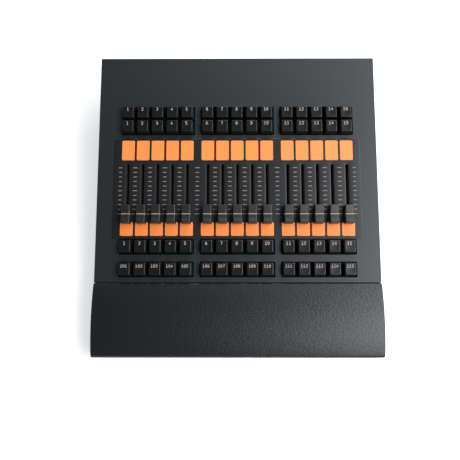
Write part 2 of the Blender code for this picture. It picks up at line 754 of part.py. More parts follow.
def fader_mesh():
    """A fader cap with the blade that reaches through its slot into the track."""
    cap = add("fader_cap", loft("fader_cap", fader_cap_rings()))
    x, v = BLADE_THICKNESS / 2, BLADE_LENGTH / 2
    blade = prisms("fader_blade", [rectangle(-x, -v, x, v)], -BLADE_REACH, CAP_BOTTOM + JOINT_DEPTH)
    join(cap, helper("fader_blade", blade))
    return evaluated_mesh("fader", cap)


def faders(deck):
    mesh = fader_mesh()
    for channel in range(CHANNELS):
        place = (channel_x(channel), FADER_REST, 0.0)
        add(f"fader_{channel + 1:02d}", mesh, CAP_PLASTIC, deck, place)


def lower_keys(deck):
    mesh = key_mesh()
    for name, row, first in (("flash_key", FLASH_ROW, 1), ("button", BUTTON_ROW, 101)):
        for channel in range(CHANNELS):
            place = (channel_x(channel), row, 0.0)
            add(f"{name}_{first + channel:02d}", mesh, KEY_PLASTIC, deck, place)


def board(name, front, rear, deck):
    half = BOARD_WIDTH / 2
    outline = rectangle(-half, front, half, rear)
    return add(name, prisms(name, [outline], BOARD_BOTTOM, BOARD_TOP), BOARD_GREEN, deck)


def tracks_into(work):
    """The fifteen slide tracks, each a body with raised ears and a groove for the blade."""
    x = TRACK_WIDTH / 2
    groove_x = BLADE_THICKNESS / 2 + SLIDE_GAP
    groove_v = FADER_TRAVEL / 2 + BLADE_LENGTH / 2 + STROKE_ROOM
    foot = BOARD_TOP - JOINT_DEPTH
    groove_floor = -BLADE_REACH - STROKE_ROOM
    end = TRACK_LENGTH / 2
    for centre in map(channel_x, range(CHANNELS)):
        outer = rectangle(centre - x, TRACK_MIDDLE - end, centre + x, TRACK_MIDDLE + end)
        inner = rectangle(
            centre - groove_x,
            TRACK_MIDDLE - groove_v,
            centre + groove_x,
            TRACK_MIDDLE + groove_v,
        )
        rings = [level(outer, foot), level(outer, TRACK_TOP), level(inner, TRACK_TOP)]
        loft_into(work, [*rings, level(inner, groove_floor)])


def ears_into(work):
    """The ears at the tracks' ends, which meet the label strips' undersides."""
    x = TRACK_WIDTH / 2
    end = TRACK_LENGTH / 2
    top = STRIP_BOTTOM - SEAT_GAP
    for centre in map(channel_x, range(CHANNELS)):
        for low in (TRACK_MIDDLE - end, TRACK_MIDDLE + end - TRACK_EAR):
            outline = rectangle(centre - x, low, centre + x, low + TRACK_EAR)
            loft_into(work, [level(outline, TRACK_TOP - JOINT_DEPTH), level(outline, top)])


def switches_into(work):
    """The lower keys' switches, each with the well that its stem enters."""
    foot = BOARD_TOP - JOINT_DEPTH
    well_floor = -STEM_REACH - KEY_TRAVEL - STROKE_ROOM
    for row in (FLASH_ROW, BUTTON_ROW):
        for centre in map(channel_x, range(CHANNELS)):
            outer = square(centre, row, SWITCH_SIDE)
            well = square(centre, row, STEM_SIDE + 2 * SLIDE_GAP)
            rings = [level(outer, foot), level(outer, SWITCH_TOP), level(well, SWITCH_TOP)]
            loft_into(work, [*rings, level(well, well_floor)])


def main_board(deck):
    front = BUTTON_ROW - BOARD_MARGIN
    made = board("main_board", front, BOARD_SPLIT - BOARD_SPLIT_GAP / 2, deck)
    for name, build in (("tracks", tracks_into), ("track_ears", ears_into), ("switches", switches_into)):
        join(made, helper(name, mesh_of(name, build), deck))


def upper_key_board(deck):
    """The upper rows' board with its switches and keys as one piece."""
    rear = REAR_UPPER_ROW + BOARD_MARGIN
    made = board("upper_key_board", BOARD_SPLIT + BOARD_SPLIT_GAP / 2, rear, deck)

    def switches(work):
        foot = BOARD_TOP - JOINT_DEPTH
        for row in UPPER_ROWS:
            for centre in map(channel_x, range(CHANNELS)):
                outer = square(centre, row, SWITCH_SIDE)
                stem = square(centre, row, STEM_SIDE)
                rings = [level(outer, foot), level(outer, SWITCH_TOP), level(stem, SWITCH_TOP)]
                loft_into(work, [*rings, level(stem, KEY_SKIRT + JOINT_DEPTH)])

    def caps(work):
        for row in UPPER_ROWS:
            for centre in map(channel_x, range(CHANNELS)):
                key_cap_into(work, centre, row)

    join(made, helper("upper_switches", mesh_of("upper_switches", switches), deck))
    join(made, helper("upper_caps", mesh_of("upper_caps", caps), deck))


def power_inlet():
    """A three-pin mains inlet: flange, body, mouth with two cut corners, and its pins."""
    x, z = INLET_X, CONNECTOR_HEIGHT
    face = TRAY_REAR + SEAT_GAP + INLET_FLANGE_THICKNESS
    w, h = INLET_FLANGE_WIDTH / 2, INLET_FLANGE_HEIGHT / 2
    flange = cut_rectangle(x - w, z - h, x + w, z + h, INLET_MOUTH_CORNER)
    mesh = prisms("power_inlet", [flange], TRAY_REAR + SEAT_GAP, face, along_y)
    inlet = add("power_inlet", mesh, CONNECTOR_BLACK)
    w, h = INLET_BODY_WIDTH / 2, INLET_BODY_HEIGHT / 2
    body = rectangle(x - w, z - h, x + w, z + h)
    back = face - INLET_BODY_DEPTH
    mouth_end = face - INLET_MOUTH_DEPTH
    shaft = prisms("inlet_body", [body], back, face - INLET_FLANGE_THICKNESS / 2, along_y)
    join(inlet, helper("inlet_body", shaft))
    w, h, corner = INLET_MOUTH_WIDTH / 2, INLET_MOUTH_HEIGHT / 2, INLET_MOUTH_CORNER
    mouth = [
        (x - w, z - h),
        (x + w, z - h),
        (x + w, z + h - corner),
        (x + w - corner, z + h),
        (x - w + corner, z + h),
        (x - w, z + h - corner),
    ]
    hollow = prisms("inlet_mouth", [mouth], mouth_end, face + SHEET, along_y)
    cut(inlet, helper("inlet_mouth", hollow))
    pins = []
    for side, rise in ((-1, 0.0), (0, EARTH_PIN_RISE), (1, 0.0)):
        px, pz = x + side * PIN_SPACING, z + rise - EARTH_PIN_RISE / 2
        w, h = PIN_WIDTH / 2, PIN_HEIGHT / 2
        pins.append(rectangle(px - w, pz - h, px + w, pz + h))
    blades = prisms("inlet_pins", pins, mouth_end - JOINT_DEPTH, mouth_end + PIN_LENGTH, along_y)
    join(inlet, helper("inlet_pins", blades))


def usb_socket():
    """A square-port data socket in a round panel housing."""
    x, z = USB_X, CONNECTOR_HEIGHT
    face = TRAY_REAR + SEAT_GAP + USB_FLANGE_THICKNESS
    w, h = USB_FLANGE_WIDTH / 2, USB_FLANGE_HEIGHT / 2
    flange = cut_rectangle(x - w, z - h, x + w, z + h, USB_FLANGE_CORNER)
    mesh = prisms("usb_socket", [flange], TRAY_REAR + SEAT_GAP, face, along_y)
    socket = add("usb_socket", mesh, CONNECTOR_BLACK)
    body = circle(x, z, USB_BODY_DIAMETER, 20)
    shaft = prisms("usb_body", [body], face - USB_BODY_DEPTH, face - USB_FLANGE_THICKNESS / 2, along_y)
    join(socket, helper("usb_body", shaft))
    w, h, corner = USB_MOUTH_WIDTH / 2, USB_MOUTH_HEIGHT / 2, USB_MOUTH_CORNER
    mouth = [
        (x - w, z - h),
        (x + w, z - h),
        (x + w, z + h - corner),
        (x + w - corner, z + h),
        (x - w + corner, z + h),
        (x - w, z + h - corner),
    ]
    mouth_end = face - USB_MOUTH_DEPTH
    cut(socket, helper("usb_mouth", prisms("usb_mouth", [mouth], mouth_end, face + SHEET, along_y)))
    w, h = USB_TONGUE_WIDTH / 2, USB_TONGUE_HEIGHT / 2
    tongue = rectangle(x - w, z - h, x + w, z + h)
    blade = prisms("usb_tongue", [tongue], mouth_end - JOINT_DEPTH, mouth_end + USB_TONGUE_LENGTH, along_y)
    join(socket, helper("usb_tongue", blade))


def power_supply():
    """A closed supply on the tray's floor, with a fixing tab at either end."""
    rear = TRAY_REAR - SHEET - SUPPLY_STAND_OFF
    low = FLOOR_TOP + SEAT_GAP
    w = SUPPLY_LENGTH / 2
    box = rectangle(SUPPLY_X - w, rear - SUPPLY_DEPTH, SUPPLY_X + w, rear)

    def build(work):
        loft_into(work, [level(box, low), level(box, low + SUPPLY_HEIGHT)])
        bmesh.ops.bevel(
            work, geom=work.edges[:], offset=SUPPLY_EDGE, segments=1, profile=0.5, affect="EDGES"
        )

    supply = add("power_supply", mesh_of("power_supply", build), ZINC)
    reach = w + SUPPLY_TAB
    inset = SUPPLY_DEPTH / 4
    tabs = rectangle(SUPPLY_X - reach, rear - SUPPLY_DEPTH + inset, SUPPLY_X + reach, rear - inset)
    join(supply, helper("supply_tabs", prisms("supply_tabs", [tabs], low, low + 2 * SHEET)))


def feet():
    side = PANEL_WIDTH / 2 - FOOT_INSET
    rows = {"front": PALM_FRONT + FOOT_INSET, "rear": TRAY_REAR - FOOT_INSET}
    profile = [
        (FOOT_DIAMETER / 2 - FOOT_CHAMFER, 0.0),
        (FOOT_DIAMETER / 2, FOOT_CHAMFER),
        (FOOT_DIAMETER / 2, FOOT_HEIGHT),
    ]
    rings = [level(circle(0.0, 0.0, 2 * radius, 20), height) for radius, height in profile]
    mesh = smooth(loft("foot", rings))
    for row, y in rows.items():
        for name, x in (("left", -side), ("right", side)):
            add(f"foot_{row}_{name}", mesh, RUBBER, location=(x, y, 0.0))


def make_deck():
    deck = bpy.data.objects.new("deck", None)
    bpy.context.collection.objects.link(deck)
    deck.location = (0.0, DECK_Y, DECK_HEIGHT)
    deck.rotation_euler = (PANEL_SLOPE, 0.0, 0.0)
    return deck


def main():
    for old in list(bpy.data.objects):
        bpy.data.objects.remove(old)
    deck = make_deck()
    base_tray()
    palm_rest()
    top_panel(deck)
    fader_plate(deck)
    label_strip(deck, "upper_label_strip", UPPER_LABEL_FRONT, UPPER_LABEL_REAR)
    label_strip(deck, "lower_label_strip", LOWER_LABEL_FRONT, LOWER_LABEL_REAR)
    faders(deck)
    lower_keys(deck)
    main_board(deck)
    upper_key_board(deck)
    power_inlet()
    usb_socket()
    power_supply()
    feet()


main()
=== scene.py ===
"""Looks of a lighting fader wing: painted case, palm rest, fader plate, sixty keys, fifteen faders and legends.

Metres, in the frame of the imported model. What lies on the sloping panel is modelled in deck axes, where X runs
to the right, V up the slope and H along the panel's normal; SLOPE turns those into the frame. Keys and caps have
their zero at panel level under their middle, and rear connectors and screws at the face that they sit on.
"""

import json
import math

import bmesh
import bpy
from mathutils import Matrix, Vector


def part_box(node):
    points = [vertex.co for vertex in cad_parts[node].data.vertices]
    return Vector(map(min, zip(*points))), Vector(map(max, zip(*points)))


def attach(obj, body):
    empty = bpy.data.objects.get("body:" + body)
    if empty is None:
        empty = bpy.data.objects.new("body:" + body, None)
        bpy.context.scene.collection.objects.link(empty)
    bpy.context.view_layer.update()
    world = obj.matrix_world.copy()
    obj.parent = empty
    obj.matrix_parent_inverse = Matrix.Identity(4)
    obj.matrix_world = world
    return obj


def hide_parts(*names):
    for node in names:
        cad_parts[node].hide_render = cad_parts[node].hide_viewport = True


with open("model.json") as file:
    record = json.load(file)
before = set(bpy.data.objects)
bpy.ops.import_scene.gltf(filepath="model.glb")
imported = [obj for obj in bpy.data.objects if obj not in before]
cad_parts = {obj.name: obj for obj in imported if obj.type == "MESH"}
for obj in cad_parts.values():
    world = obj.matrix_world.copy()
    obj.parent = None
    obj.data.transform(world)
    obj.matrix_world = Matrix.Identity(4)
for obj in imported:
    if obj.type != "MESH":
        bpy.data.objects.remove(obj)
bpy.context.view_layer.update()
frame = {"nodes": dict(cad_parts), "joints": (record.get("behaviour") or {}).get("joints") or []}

# Channels
CHANNELS = 15
GROUP_SIZE = 5
FIRST_BUTTON = 101
SMOOTH_ANGLE = math.radians(38)

# Panel, plate and label fields
PANEL_THICKNESS = 0.002
PANEL_EDGE = 0.0005
WINDOW_GAP = 0.0008
WINDOW_CORNER = 0.0012
WINDOW_EDGE = 0.0003
PLATE_LAP = 0.006  # of the fader plate over the sides of the panel's opening
PLATE_CORNER = 0.0020
PLATE_EDGE = 0.0012
PLATE_EDGE_DROP = 0.0004
SLOT_WIDTH = 0.0038
SLOT_CORNER = 0.0009
SLOT_LIP = 0.0016  # width of the chamfer round a slot
SLOT_LIP_DROP = 0.00045
SLOT_ROOM = 0.0016  # past the blade at either end of its travel
STRIP_MARGIN = 0.0013
STRIP_BASE = 0.0012  # thickness of a label strip under its fields
FIELD_SINK = 0.0002  # of a field into its strip
LABEL_GAP = 0.0002
LABEL_SIDE = 0.0005  # by which a field is narrower at either side
LABEL_CORNER = 0.0017
LABEL_EDGE = 0.00015

# Scale marks
MARKS = 11
SCALE_LENGTH = 0.06
MARK_HEIGHT = 0.00004
MARK_THICKNESS = 0.00095
MARK_LENGTH = 0.0046
MAJOR_LENGTH = 0.0058
OUTER_SHARE = 0.78  # of the outermost columns' marks
MAJOR_EVERY = 5

# Boards and switches
BOARD_DROP = 0.013  # of the boards' upper face under the panel's
LAMINATE = 0.0018  # up to here from its underside, the main board shows green
KEY_BOARD = 0.0016  # thickness
SWITCH_WIDTH = 0.0138
SWITCH_CORNER = 0.0005
SWITCH_DROP = 0.0045  # of a switch's top under the panel's face

# Key caps
KEY_FACE_WIDTH = 0.0140
KEY_FACE_LENGTH = 0.0148
KEY_FACE_SHIFT = 0.00035  # of the face, to the back
KEY_FACE_SIDE = -0.0004  # of the face, to the left
KEY_CORNER = 0.0014
KEY_FACE_CORNER = 0.0010
KEY_SIDE_PIECES = 6
KEY_ROLL = 0.0011
KEY_ROLL_DROP = 0.0007
KEY_DISH = 0.00018
KEY_DISH_RINGS = (0.85, 0.65, 0.4, 0.15)  # as shares of the face
KEY_TOP_OVER_PANEL = 0.0085
KEY_SKIRT = -0.0010
NUMERAL_HEIGHT = 0.0038  # of 101 to 115
SMALL_HEIGHT = 0.0042  # of 1 to 15
NUMERAL_SHIFT = -0.0009  # to the left
NUMERAL_RISE = 0.0034  # of a numeral's middle over the face's middle, up the slope
NUMERAL_PROUD = 0.00004
STROKE = 0.125  # of a numeral's height
DIGIT_WIDTH = 0.60
DIGIT_SPACE = 0.20

# Fader caps
CAP_TOP_WIDTH = 0.0112
CAP_DIP = 0.0020
CAP_END_FALL = 0.0016
CAP_ROLL = 0.0012
CAP_END_ROLL = 0.0007
CAP_GAP = 0.0005
CAP_STEPS = 12
INDEX_WIDTH = 0.0011
INDEX_DROP = 0.0045  # of the index line down the cap's sides
INDEX_PROUD = 0.00004
INDEX_SINK = 0.0002
BLADE_THICKNESS = 0.0012
BLADE_LENGTH = 0.006
BLADE_FOOT = -0.0095
BLADE_SINK = 0.0005  # of the blade into its cap

# Palm rest and the seal in its groove
PALM_STEP = 0.0003  # of its back edge over the panel's front edge
PALM_FALL = 0.0095  # from its back edge to its front one
PALM_CROWN = 0.0056  # over the line between the two
PALM_WALL = 0.003
PALM_BACK_ROLL = 0.0014
PALM_NOSE_ROLL = 0.004
PALM_END_ROLL = 0.001
PALM_ROLL_STEPS = 8
CROWN_PIECES = 40
HOLLOW_PIECES = 12
SEAL_PLAY = 0.00005
SEAL_WIDTH = 0.0008
SEAL_HEIGHT = 0.0040
SEAL_DROP = 0.0032  # of its top under the palm rest's back edge
PALM_RIBS = 3
PALM_RIB_FOOT = 0.018  # height of the ribs' lower edge over the table
RIB_THICKNESS = 0.0025
RIB_INSET = 0.9 * PALM_WALL  # so that the ribs end inside the wall
BOSS_RADIUS = 0.004

# Tray and what hangs under the panel
SEAT_GAP = 0.0003
SHEET = 0.0015
FLOOR_BOTTOM = 0.005
FLOOR_TOP = FLOOR_BOTTOM + SHEET
FOLD_RADIUS = 0.002
TONGUE_LIP = 0.010
FLANGE_DEPTH = 0.010
STUD_RADIUS = 0.0025
STUD_INSET = 0.003
VENTS = 9
VENT_X = -0.105
VENT_PITCH = 0.008
VENT_WIDTH = 0.003
VENT_HEIGHT = 0.022

# Mains inlet
INLET_FLANGE = (0.0490, 0.0226)
INLET_BODY = (0.0276, 0.0206)
INLET_MOUTH = (0.0240, 0.0166)
INLET_CORNER = 0.001
INLET_CUT = 0.0042  # off the flange's corners and the mouth's upper ones
INLET_SOFT = 0.0010  # radius of the mouth's lower corners
INLET_MOUTH_DEPTH = 0.0172
INLET_RIM_EDGE = (0.0007, 0.0006)  # reach and drop
INLET_MOUTH_EDGE = (0.0006, 0.0005)
SHROUD_DROP = 0.0010  # of the shroud's rim under the flange's face
PIN_WIDTH = 0.0020
PIN_HEIGHT = 0.0040
PIN_LENGTH = 0.0122
PIN_CORNER = 0.0002
PIN_SINK = 0.0003  # into the mouth's floor
PIN_PLACES = ((-0.0070, -0.0020), (0.0, 0.0020), (0.0070, -0.0020))
PIN_TIP = ((0.0, 0.0012), (0.0004, 0.0002), (0.0007, 0.0))  # set-back, and distance from the tip

# Data socket
SOCKET_FLANGE = (0.026, 0.031)
SOCKET_CORNER = 0.0032
SOCKET_RADIUS = 0.0118
SOCKET_MOUTH = (0.00845, 0.00778)
SOCKET_CUT = 0.0016  # off the mouth's upper corners
SOCKET_SOFT = 0.0004
SOCKET_DEPTH = 0.0100
SOCKET_PLATE_EDGE = (0.0006, 0.0005)  # reach and drop
SOCKET_PLATE_DROP = 0.0004  # of the square plate under the disc
SOCKET_EDGE = 0.0002
SOCKET_FLAT = 9  # degrees to either side of the barrel's foot
DISC_INSET = 0.0012
DISC_THICKNESS = 0.0008
DISC_EDGE = 0.0004
DISC_MOUTH_EDGE = 0.0003
BARREL_DROP = 0.0012  # of its rim under the disc
SHELL_INSETS = (0.0004, 0.0001)  # of its inner and outer face into the mouth
SHELL_FEET = (0.0003, 0.0001)  # height of those over the floor
SHELL_DROP = 0.0006  # of its rim under the disc
TONGUE = (0.0056, 0.0032, 0.0088)
TONGUE_CORNER = 0.0003
CONTACT = (0.0010, 0.00024)
CONTACT_SIDE = 0.00125
CONTACT_ENDS = (0.0004, 0.0010)  # short of the floor and of the tongue's tip

# Feet and screws
FOOT_RECESS = 0.0026  # profiles are (radius, height) points
FOOT_PROFILE = (
    (0.0038, FOOT_RECESS), (0.0040, 0.0004), (0.0044, 0.0), (0.0066, 0.0),
    (0.0072, 0.0002), (0.0077, 0.0006), (0.0080, 0.0012),
)
FOOT_ROLL = 0.0003
SCREW_PROFILE = ((0.0024, -0.0012), (0.0028, 0.0), (0.0027, 0.0002), (0.0022, 0.00038), (0.0012, 0.00045))
CROSS_LONG = 0.0016
CROSS_SHORT = 0.00038
CROSS_RINGS = ((0.45, -0.0010), (1.0, 0.0006))  # share of the cross, and height
SIDE_SCREW_INSET = 0.030
SIDE_SCREW_DROP = 0.0075
CONNECTOR_SCREWS = {
    "power_inlet": ((-0.0200, 0.0), (0.0200, 0.0)),
    "usb_socket": ((-0.0095, 0.0120), (0.0095, -0.0120)),
}
SUPPLY_SCREW_INSET = 0.004

# Light, and the camera in deck axes from the faders' zero mark
STAGE_SIZE = 24.0
STAGE_DROP = 0.0002  # under the feet
LAMPS = {  # place, size and power
    "window_right": ((0.90, -0.22, 1.22), (1.8, 0.7), 31.0),
    "sky_behind": ((0.42, 1.20, 1.08), (1.4, 0.4), 17.0),
}
LAMP_AIM = (0.0, 0.0, 0.03)
LAMP_COLOUR = (0.95, 0.965, 1.0)
SKY_STOPS = ((0.20, (0.90, 0.90, 0.90)), (0.62, (0.07, 0.08, 0.09)))
FOCAL_PIXELS = 500
PHOTO_PIXELS = 460
SENSOR = 36.0  # millimetres
CAMERA_TURNS = (math.radians(-7.4095), math.radians(-0.3634), math.radians(0.0246))
CAMERA_OFFSET = Vector((0.009326, 0.020370, -0.636144))
FADER_REST = -0.0015  # the index line at the bottom stop, from the zero mark

# The deck, from the frame
FADER_SLIDE = next(joint for joint in frame["joints"] if joint["name"] == "fader_01_slide")
TRAVEL = FADER_SLIDE["range_m"][1]
UP_SLOPE = Vector(FADER_SLIDE["axis"])
SLOPE_ANGLE = math.atan2(UP_SLOPE.z, UP_SLOPE.y)
SLOPE = Matrix.Rotation(SLOPE_ANGLE, 4, "X")
COS = math.cos(SLOPE_ANGLE)
SIN = math.sin(SLOPE_ANGLE)
LEVEL = Matrix.Identity(4)  # the place of a piece that is modelled in the frame itself


def deck_points(node):
    """The corners of a CAD node, in deck axes."""
    flat = SLOPE.inverted()
    return [flat @ vertex.co for vertex in frame["nodes"][node].data.vertices]


def deck_box(node):
    """Lowest and highest corner of a CAD node, in deck axes."""
    axes = list(zip(*deck_points(node)))
    return Vector([min(axis) for axis in axes]), Vector([max(axis) for axis in axes])


def fader_name(channel):
    return f"fader_{channel + 1:02d}"


def flash_name(channel):
    return f"flash_key_{channel + 1:02d}"


def button_name(channel):
    return f"button_{FIRST_BUTTON + channel}"


def middle(box):
    return (box[0] + box[1]) / 2


PANEL = deck_box("top_panel")
PANEL_TOP = PANEL[1].z
BOARD_TOP = PANEL_TOP - BOARD_DROP
PLATE = deck_box("fader_plate")
PLATE_TOP = PLATE[1].z
UPPER_STRIP = deck_box("upper_label_strip")
LOWER_STRIP = deck_box("lower_label_strip")
FADER = deck_box(fader_name(0))
FLASH = deck_box(flash_name(0))
KEY_WIDTH = FLASH[1].x - FLASH[0].x
KEY_LENGTH = FLASH[1].y - FLASH[0].y
CHANNEL_X = [middle(deck_box(fader_name(channel))).x for channel in range(CHANNELS)]
GROUPS = [CHANNEL_X[first:first + GROUP_SIZE] for first in range(0, CHANNELS, GROUP_SIZE)]
FADER_V = middle(FADER).y
ZERO_V = FADER_V - FADER_REST
FLASH_V = middle(FLASH).y
BUTTON_V = middle(deck_box(button_name(0))).y
UPPER_TOPS = [point.y for point in deck_points("upper_key_board") if point.z > PANEL_TOP + KEY_TOP_OVER_PANEL / 2]
UPPER_ROWS = [
    max(UPPER_TOPS) - KEY_FACE_LENGTH / 2 - KEY_FACE_SHIFT,
    min(UPPER_TOPS) + KEY_FACE_LENGTH / 2 - KEY_FACE_SHIFT,
]
CAP_HALF_LENGTH = (FADER[1].y - FADER[0].y) / 2
CAP_HALF_WIDTH = (FADER[1].x - FADER[0].x) / 2
CAP_FOOT = PLATE_TOP - PANEL_TOP + CAP_GAP
CAP_CREST = FADER[1].z - PANEL_TOP
FEET = [f"foot_{row}_{side}" for row in ("front", "rear") for side in ("left", "right")]
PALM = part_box("palm_rest")
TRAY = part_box("base_tray")
PALM_BACK_TOP = (SLOPE @ Vector((0.0, PANEL[0].y, PANEL_TOP))).z + PALM_STEP


def maths(operation, swapped=False):
    """A method of Wire that adds a Math node with this operation."""
    def method(self, other):
        first, second = (other, self) if swapped else (self, other)
        return self.finish.node("ShaderNodeMath", {"operation": operation}, {0: first, 1: second})

    return method


class Wire:
    """One output of a node; sums and products with it add Math nodes to its material."""

    def __init__(self, finish, socket):
        self.finish = finish
        self.socket = socket

    __add__ = __radd__ = maths("ADD")
    __mul__ = __rmul__ = maths("MULTIPLY")
    __sub__ = maths("SUBTRACT")
    __rsub__ = maths("SUBTRACT", swapped=True)
    __gt__ = maths("GREATER_THAN")


class Finish:
    """A material or a world, with one method that makes any node from its type, settings and inputs."""

    def __init__(self, name, blocks=bpy.data.materials, shader="Principled BSDF", **even):
        self.block = blocks.new(name)
        self.block.use_nodes = True
        self.tree = self.block.node_tree
        self.shader = self.tree.nodes[shader]
        self.show(**even)

    def feed(self, node, inputs):
        """Links wires to a node's inputs and sets the other values there."""
        for name, value in inputs.items():
            socket = node.inputs[name]
            if isinstance(value, Wire):
                self.tree.links.new(value.socket, socket)
            else:
                socket.default_value = (*value, 1.0) if socket.type == "RGBA" else value

    def show(self, **inputs):
        """Feeds the shader's inputs, named with underscores for spaces, and gives the finished block."""
        self.feed(self.shader, {name.replace("_", " "): value for name, value in inputs.items()})
        return self.block

    def node(self, kind, settings=None, inputs=None, output=0):
        made = self.tree.nodes.new(kind)
        for setting, value in (settings or {}).items():
            setattr(made, setting, value)
        self.feed(made, inputs or {})
        return Wire(self, made.outputs[output])

    def place(self):
        """A point's own coordinates on the piece, in metres."""
        return self.node("ShaderNodeTexCoord", output="Object")

    def noise(self, size, detail=2.0, place=None):
        """Noise from 0 to 1 whose lumps are about this size, in metres."""
        inputs = {"Vector": place or self.place(), "Scale": 1 / size, "Detail": detail}
        return self.node("ShaderNodeTexNoise", None, inputs)

    def cells(self, size, feature="F1"):
        """Distance to the nearest of scattered points about this far apart, in cells."""
        inputs = {"Vector": self.place(), "Scale": 1 / size}
        return self.node("ShaderNodeTexVoronoi", {"feature": feature}, inputs, "Distance")

    def blend(self, share, first, second):
        """A colour between two, by a share from 0 to 1."""
        settings = {"data_type": "RGBA", "clamp_factor": True}
        return self.node("ShaderNodeMix", settings, {0: share, 6: first, 7: second}, 2)

    def relief(self, height, depth, strength):
        """Raises the surface by a height times a depth in metres."""
        bump = self.node("ShaderNodeBump", None, {"Height": height, "Distance": depth, "Strength": strength})
        self.show(Normal=bump)


def speckled(name, first, second, drift, speck, roughness, relief=None, level=0.5):
    """A plain finish: its tone drifts between two colours, and fine specks vary its gloss and its surface."""
    finish = Finish(name, Specular_IOR_Level=level)
    specks = finish.noise(speck)
    tone = finish.blend(finish.noise(drift), first, second)
    if relief:
        finish.relief(specks, *relief)
    smooth, spread = roughness
    return finish.show(Base_Color=tone, Roughness=smooth + spread * specks)


def case_paint():
    """Powder coat: dark blue-grey, with fine pimples and a slow drift of tone."""
    paint = Finish("case_paint", Specular_IOR_Level=0.55)
    speck = paint.noise(0.0007, 1.0)
    tone = paint.blend(paint.noise(0.09, 3.0), (0.0075, 0.0098, 0.0108), (0.0102, 0.0126, 0.0138))
    fleck = paint.blend(speck * 0.30, tone, (0.026, 0.030, 0.033))
    paint.relief(paint.cells(0.0008) + 0.5 * speck, 0.00005, 0.45)
    return paint.show(Base_Color=fleck, Roughness=0.38 + 0.10 * speck)


def palm_skin():
    """Moulded grain: pebbles about a millimetre across with creases between them, on wider, softer patches. The
    colour is darkened towards the creases as painted shade.
    """
    skin = Finish("palm_skin", Specular_IOR_Level=0.66)
    pebbles = skin.cells(0.0011, "DISTANCE_TO_EDGE")
    fine = skin.noise(0.0005)
    patches = skin.noise(0.0030)
    tone = skin.blend(skin.noise(0.06, 3.0), (0.0024, 0.0028, 0.0042), (0.0042, 0.0046, 0.0062))
    # painted shade: the colour darkens towards the creases between the pebbles, up to half way to a darker blue-grey
    crease_shade = (1 - pebbles * 5.0) * 0.5
    skin.relief(pebbles * 2.0 + 0.3 * fine + 4.5 * patches, 0.00009, 0.5)
    return skin.show(Base_Color=skin.blend(crease_shade, tone, (0.0025, 0.0030, 0.0038)), Roughness=0.34 + 0.09 * fine)


def label_orange():
    """Matt orange label stock with a faint fibre."""
    stock = Finish("label_orange", Specular_IOR_Level=0.55)
    fibre = stock.noise(0.0012, 3.0)
    tone = stock.blend(stock.noise(0.03), (0.93, 0.234, 0.044), (0.97, 0.258, 0.053))
    stock.relief(fibre, 0.00002, 0.25)
    return stock.show(Base_Color=stock.blend(fibre * 0.25, tone, (1.0, 0.315, 0.080)), Roughness=0.46 + 0.12 * fibre)


def rubber():
    """Dull black rubber with a dusty bloom."""
    gum = Finish("rubber")
    bloom = gum.noise(0.004, 3.0)
    tone = gum.blend(bloom, (0.012, 0.012, 0.012), (0.030, 0.030, 0.031))
    gum.relief(gum.noise(0.0006, 1.0), 0.00005, 0.4)
    return gum.show(Base_Color=tone, Roughness=0.75 + 0.15 * bloom)


def brushed_metal(name, colour, grain_size, smooth):
    """Plated metal whose fine lines run across the piece."""
    metal = Finish(name, Metallic=1.0)
    stretch = {0: metal.place(), 3: (1.0, 12.0, 12.0)}
    lines = metal.noise(grain_size, 3.0, metal.node("ShaderNodeMapping", {"vector_type": "POINT"}, stretch))
    tint = tuple(value * 0.82 for value in colour)
    metal.relief(lines, 0.00001, 0.3)
    return metal.show(Base_Color=metal.blend(lines, colour, tint), Roughness=smooth + 0.14 * lines)


def inner_board():
    """The boards with what they carry: green laminate low down and black housings above it."""
    laminate = Finish("inner_board")
    operands = {0: laminate.place(), 1: (0.0, -SIN, COS)}
    height = laminate.node("ShaderNodeVectorMath", {"operation": "DOT_PRODUCT"}, operands, "Value")
    raised = height > deck_box("main_board")[0].z + LAMINATE
    weave = laminate.noise(0.0008)
    green = laminate.blend(weave, (0.004, 0.018, 0.011), (0.006, 0.026, 0.015))
    black = laminate.blend(weave, (0.006, 0.006, 0.006), (0.010, 0.010, 0.010))
    return laminate.show(Base_Color=laminate.blend(raised, green, black), Roughness=0.45 + 0.15 * weave)


def all_finishes():
    """Each finish under the name by which the pieces ask for it."""
    ink = {"drift": 0.0006, "speck": 0.0006, "roughness": (0.50, 0.15)}
    return {
        "case": case_paint(),
        "palm": palm_skin(),
        "plate": speckled(
            "plate_paint", (0.0058, 0.0066, 0.0074), (0.0078, 0.0088, 0.0096),
            0.05, 0.0004, (0.40, 0.08), (0.00003, 0.35), 0.42,
        ),
        "keys": speckled(
            "key_plastic", (0.0046, 0.0050, 0.0052), (0.0070, 0.0074, 0.0076),
            0.02, 0.00025, (0.25, 0.10), (0.00002, 0.3), 0.42,
        ),
        "caps": speckled(
            "cap_plastic", (0.0070, 0.0075, 0.0086), (0.0100, 0.0105, 0.0118),
            0.012, 0.0003, (0.35, 0.10), (0.00003, 0.35), 0.6,
        ),
        "connector": speckled(
            "connector_plastic", (0.010, 0.010, 0.011), (0.016, 0.016, 0.017),
            0.0005, 0.0005, (0.36, 0.14), (0.00002, 0.3),
        ),
        "labels": label_orange(),
        "figures": speckled("figure_ink", (0.57, 0.45, 0.375), (0.46, 0.355, 0.295), **ink),
        "marks": speckled("mark_ink", (0.30, 0.22, 0.17), (0.22, 0.16, 0.12), **ink),
        "index": speckled("index_ink", (0.38, 0.28, 0.185), (0.31, 0.22, 0.145), **ink),
        "rubber": rubber(),
        "zinc": brushed_metal("zinc_plate", (0.52, 0.53, 0.55), 0.004, 0.36),
        "steel": brushed_metal("blade_steel", (0.40, 0.40, 0.41), 0.003, 0.30),
        "nickel": brushed_metal("nickel_plate", (0.66, 0.63, 0.58), 0.003, 0.24),
        "screws": brushed_metal("screw_black", (0.045, 0.046, 0.050), 0.002, 0.34),
        "board": inner_board(),
    }


FINISHES = all_finishes()


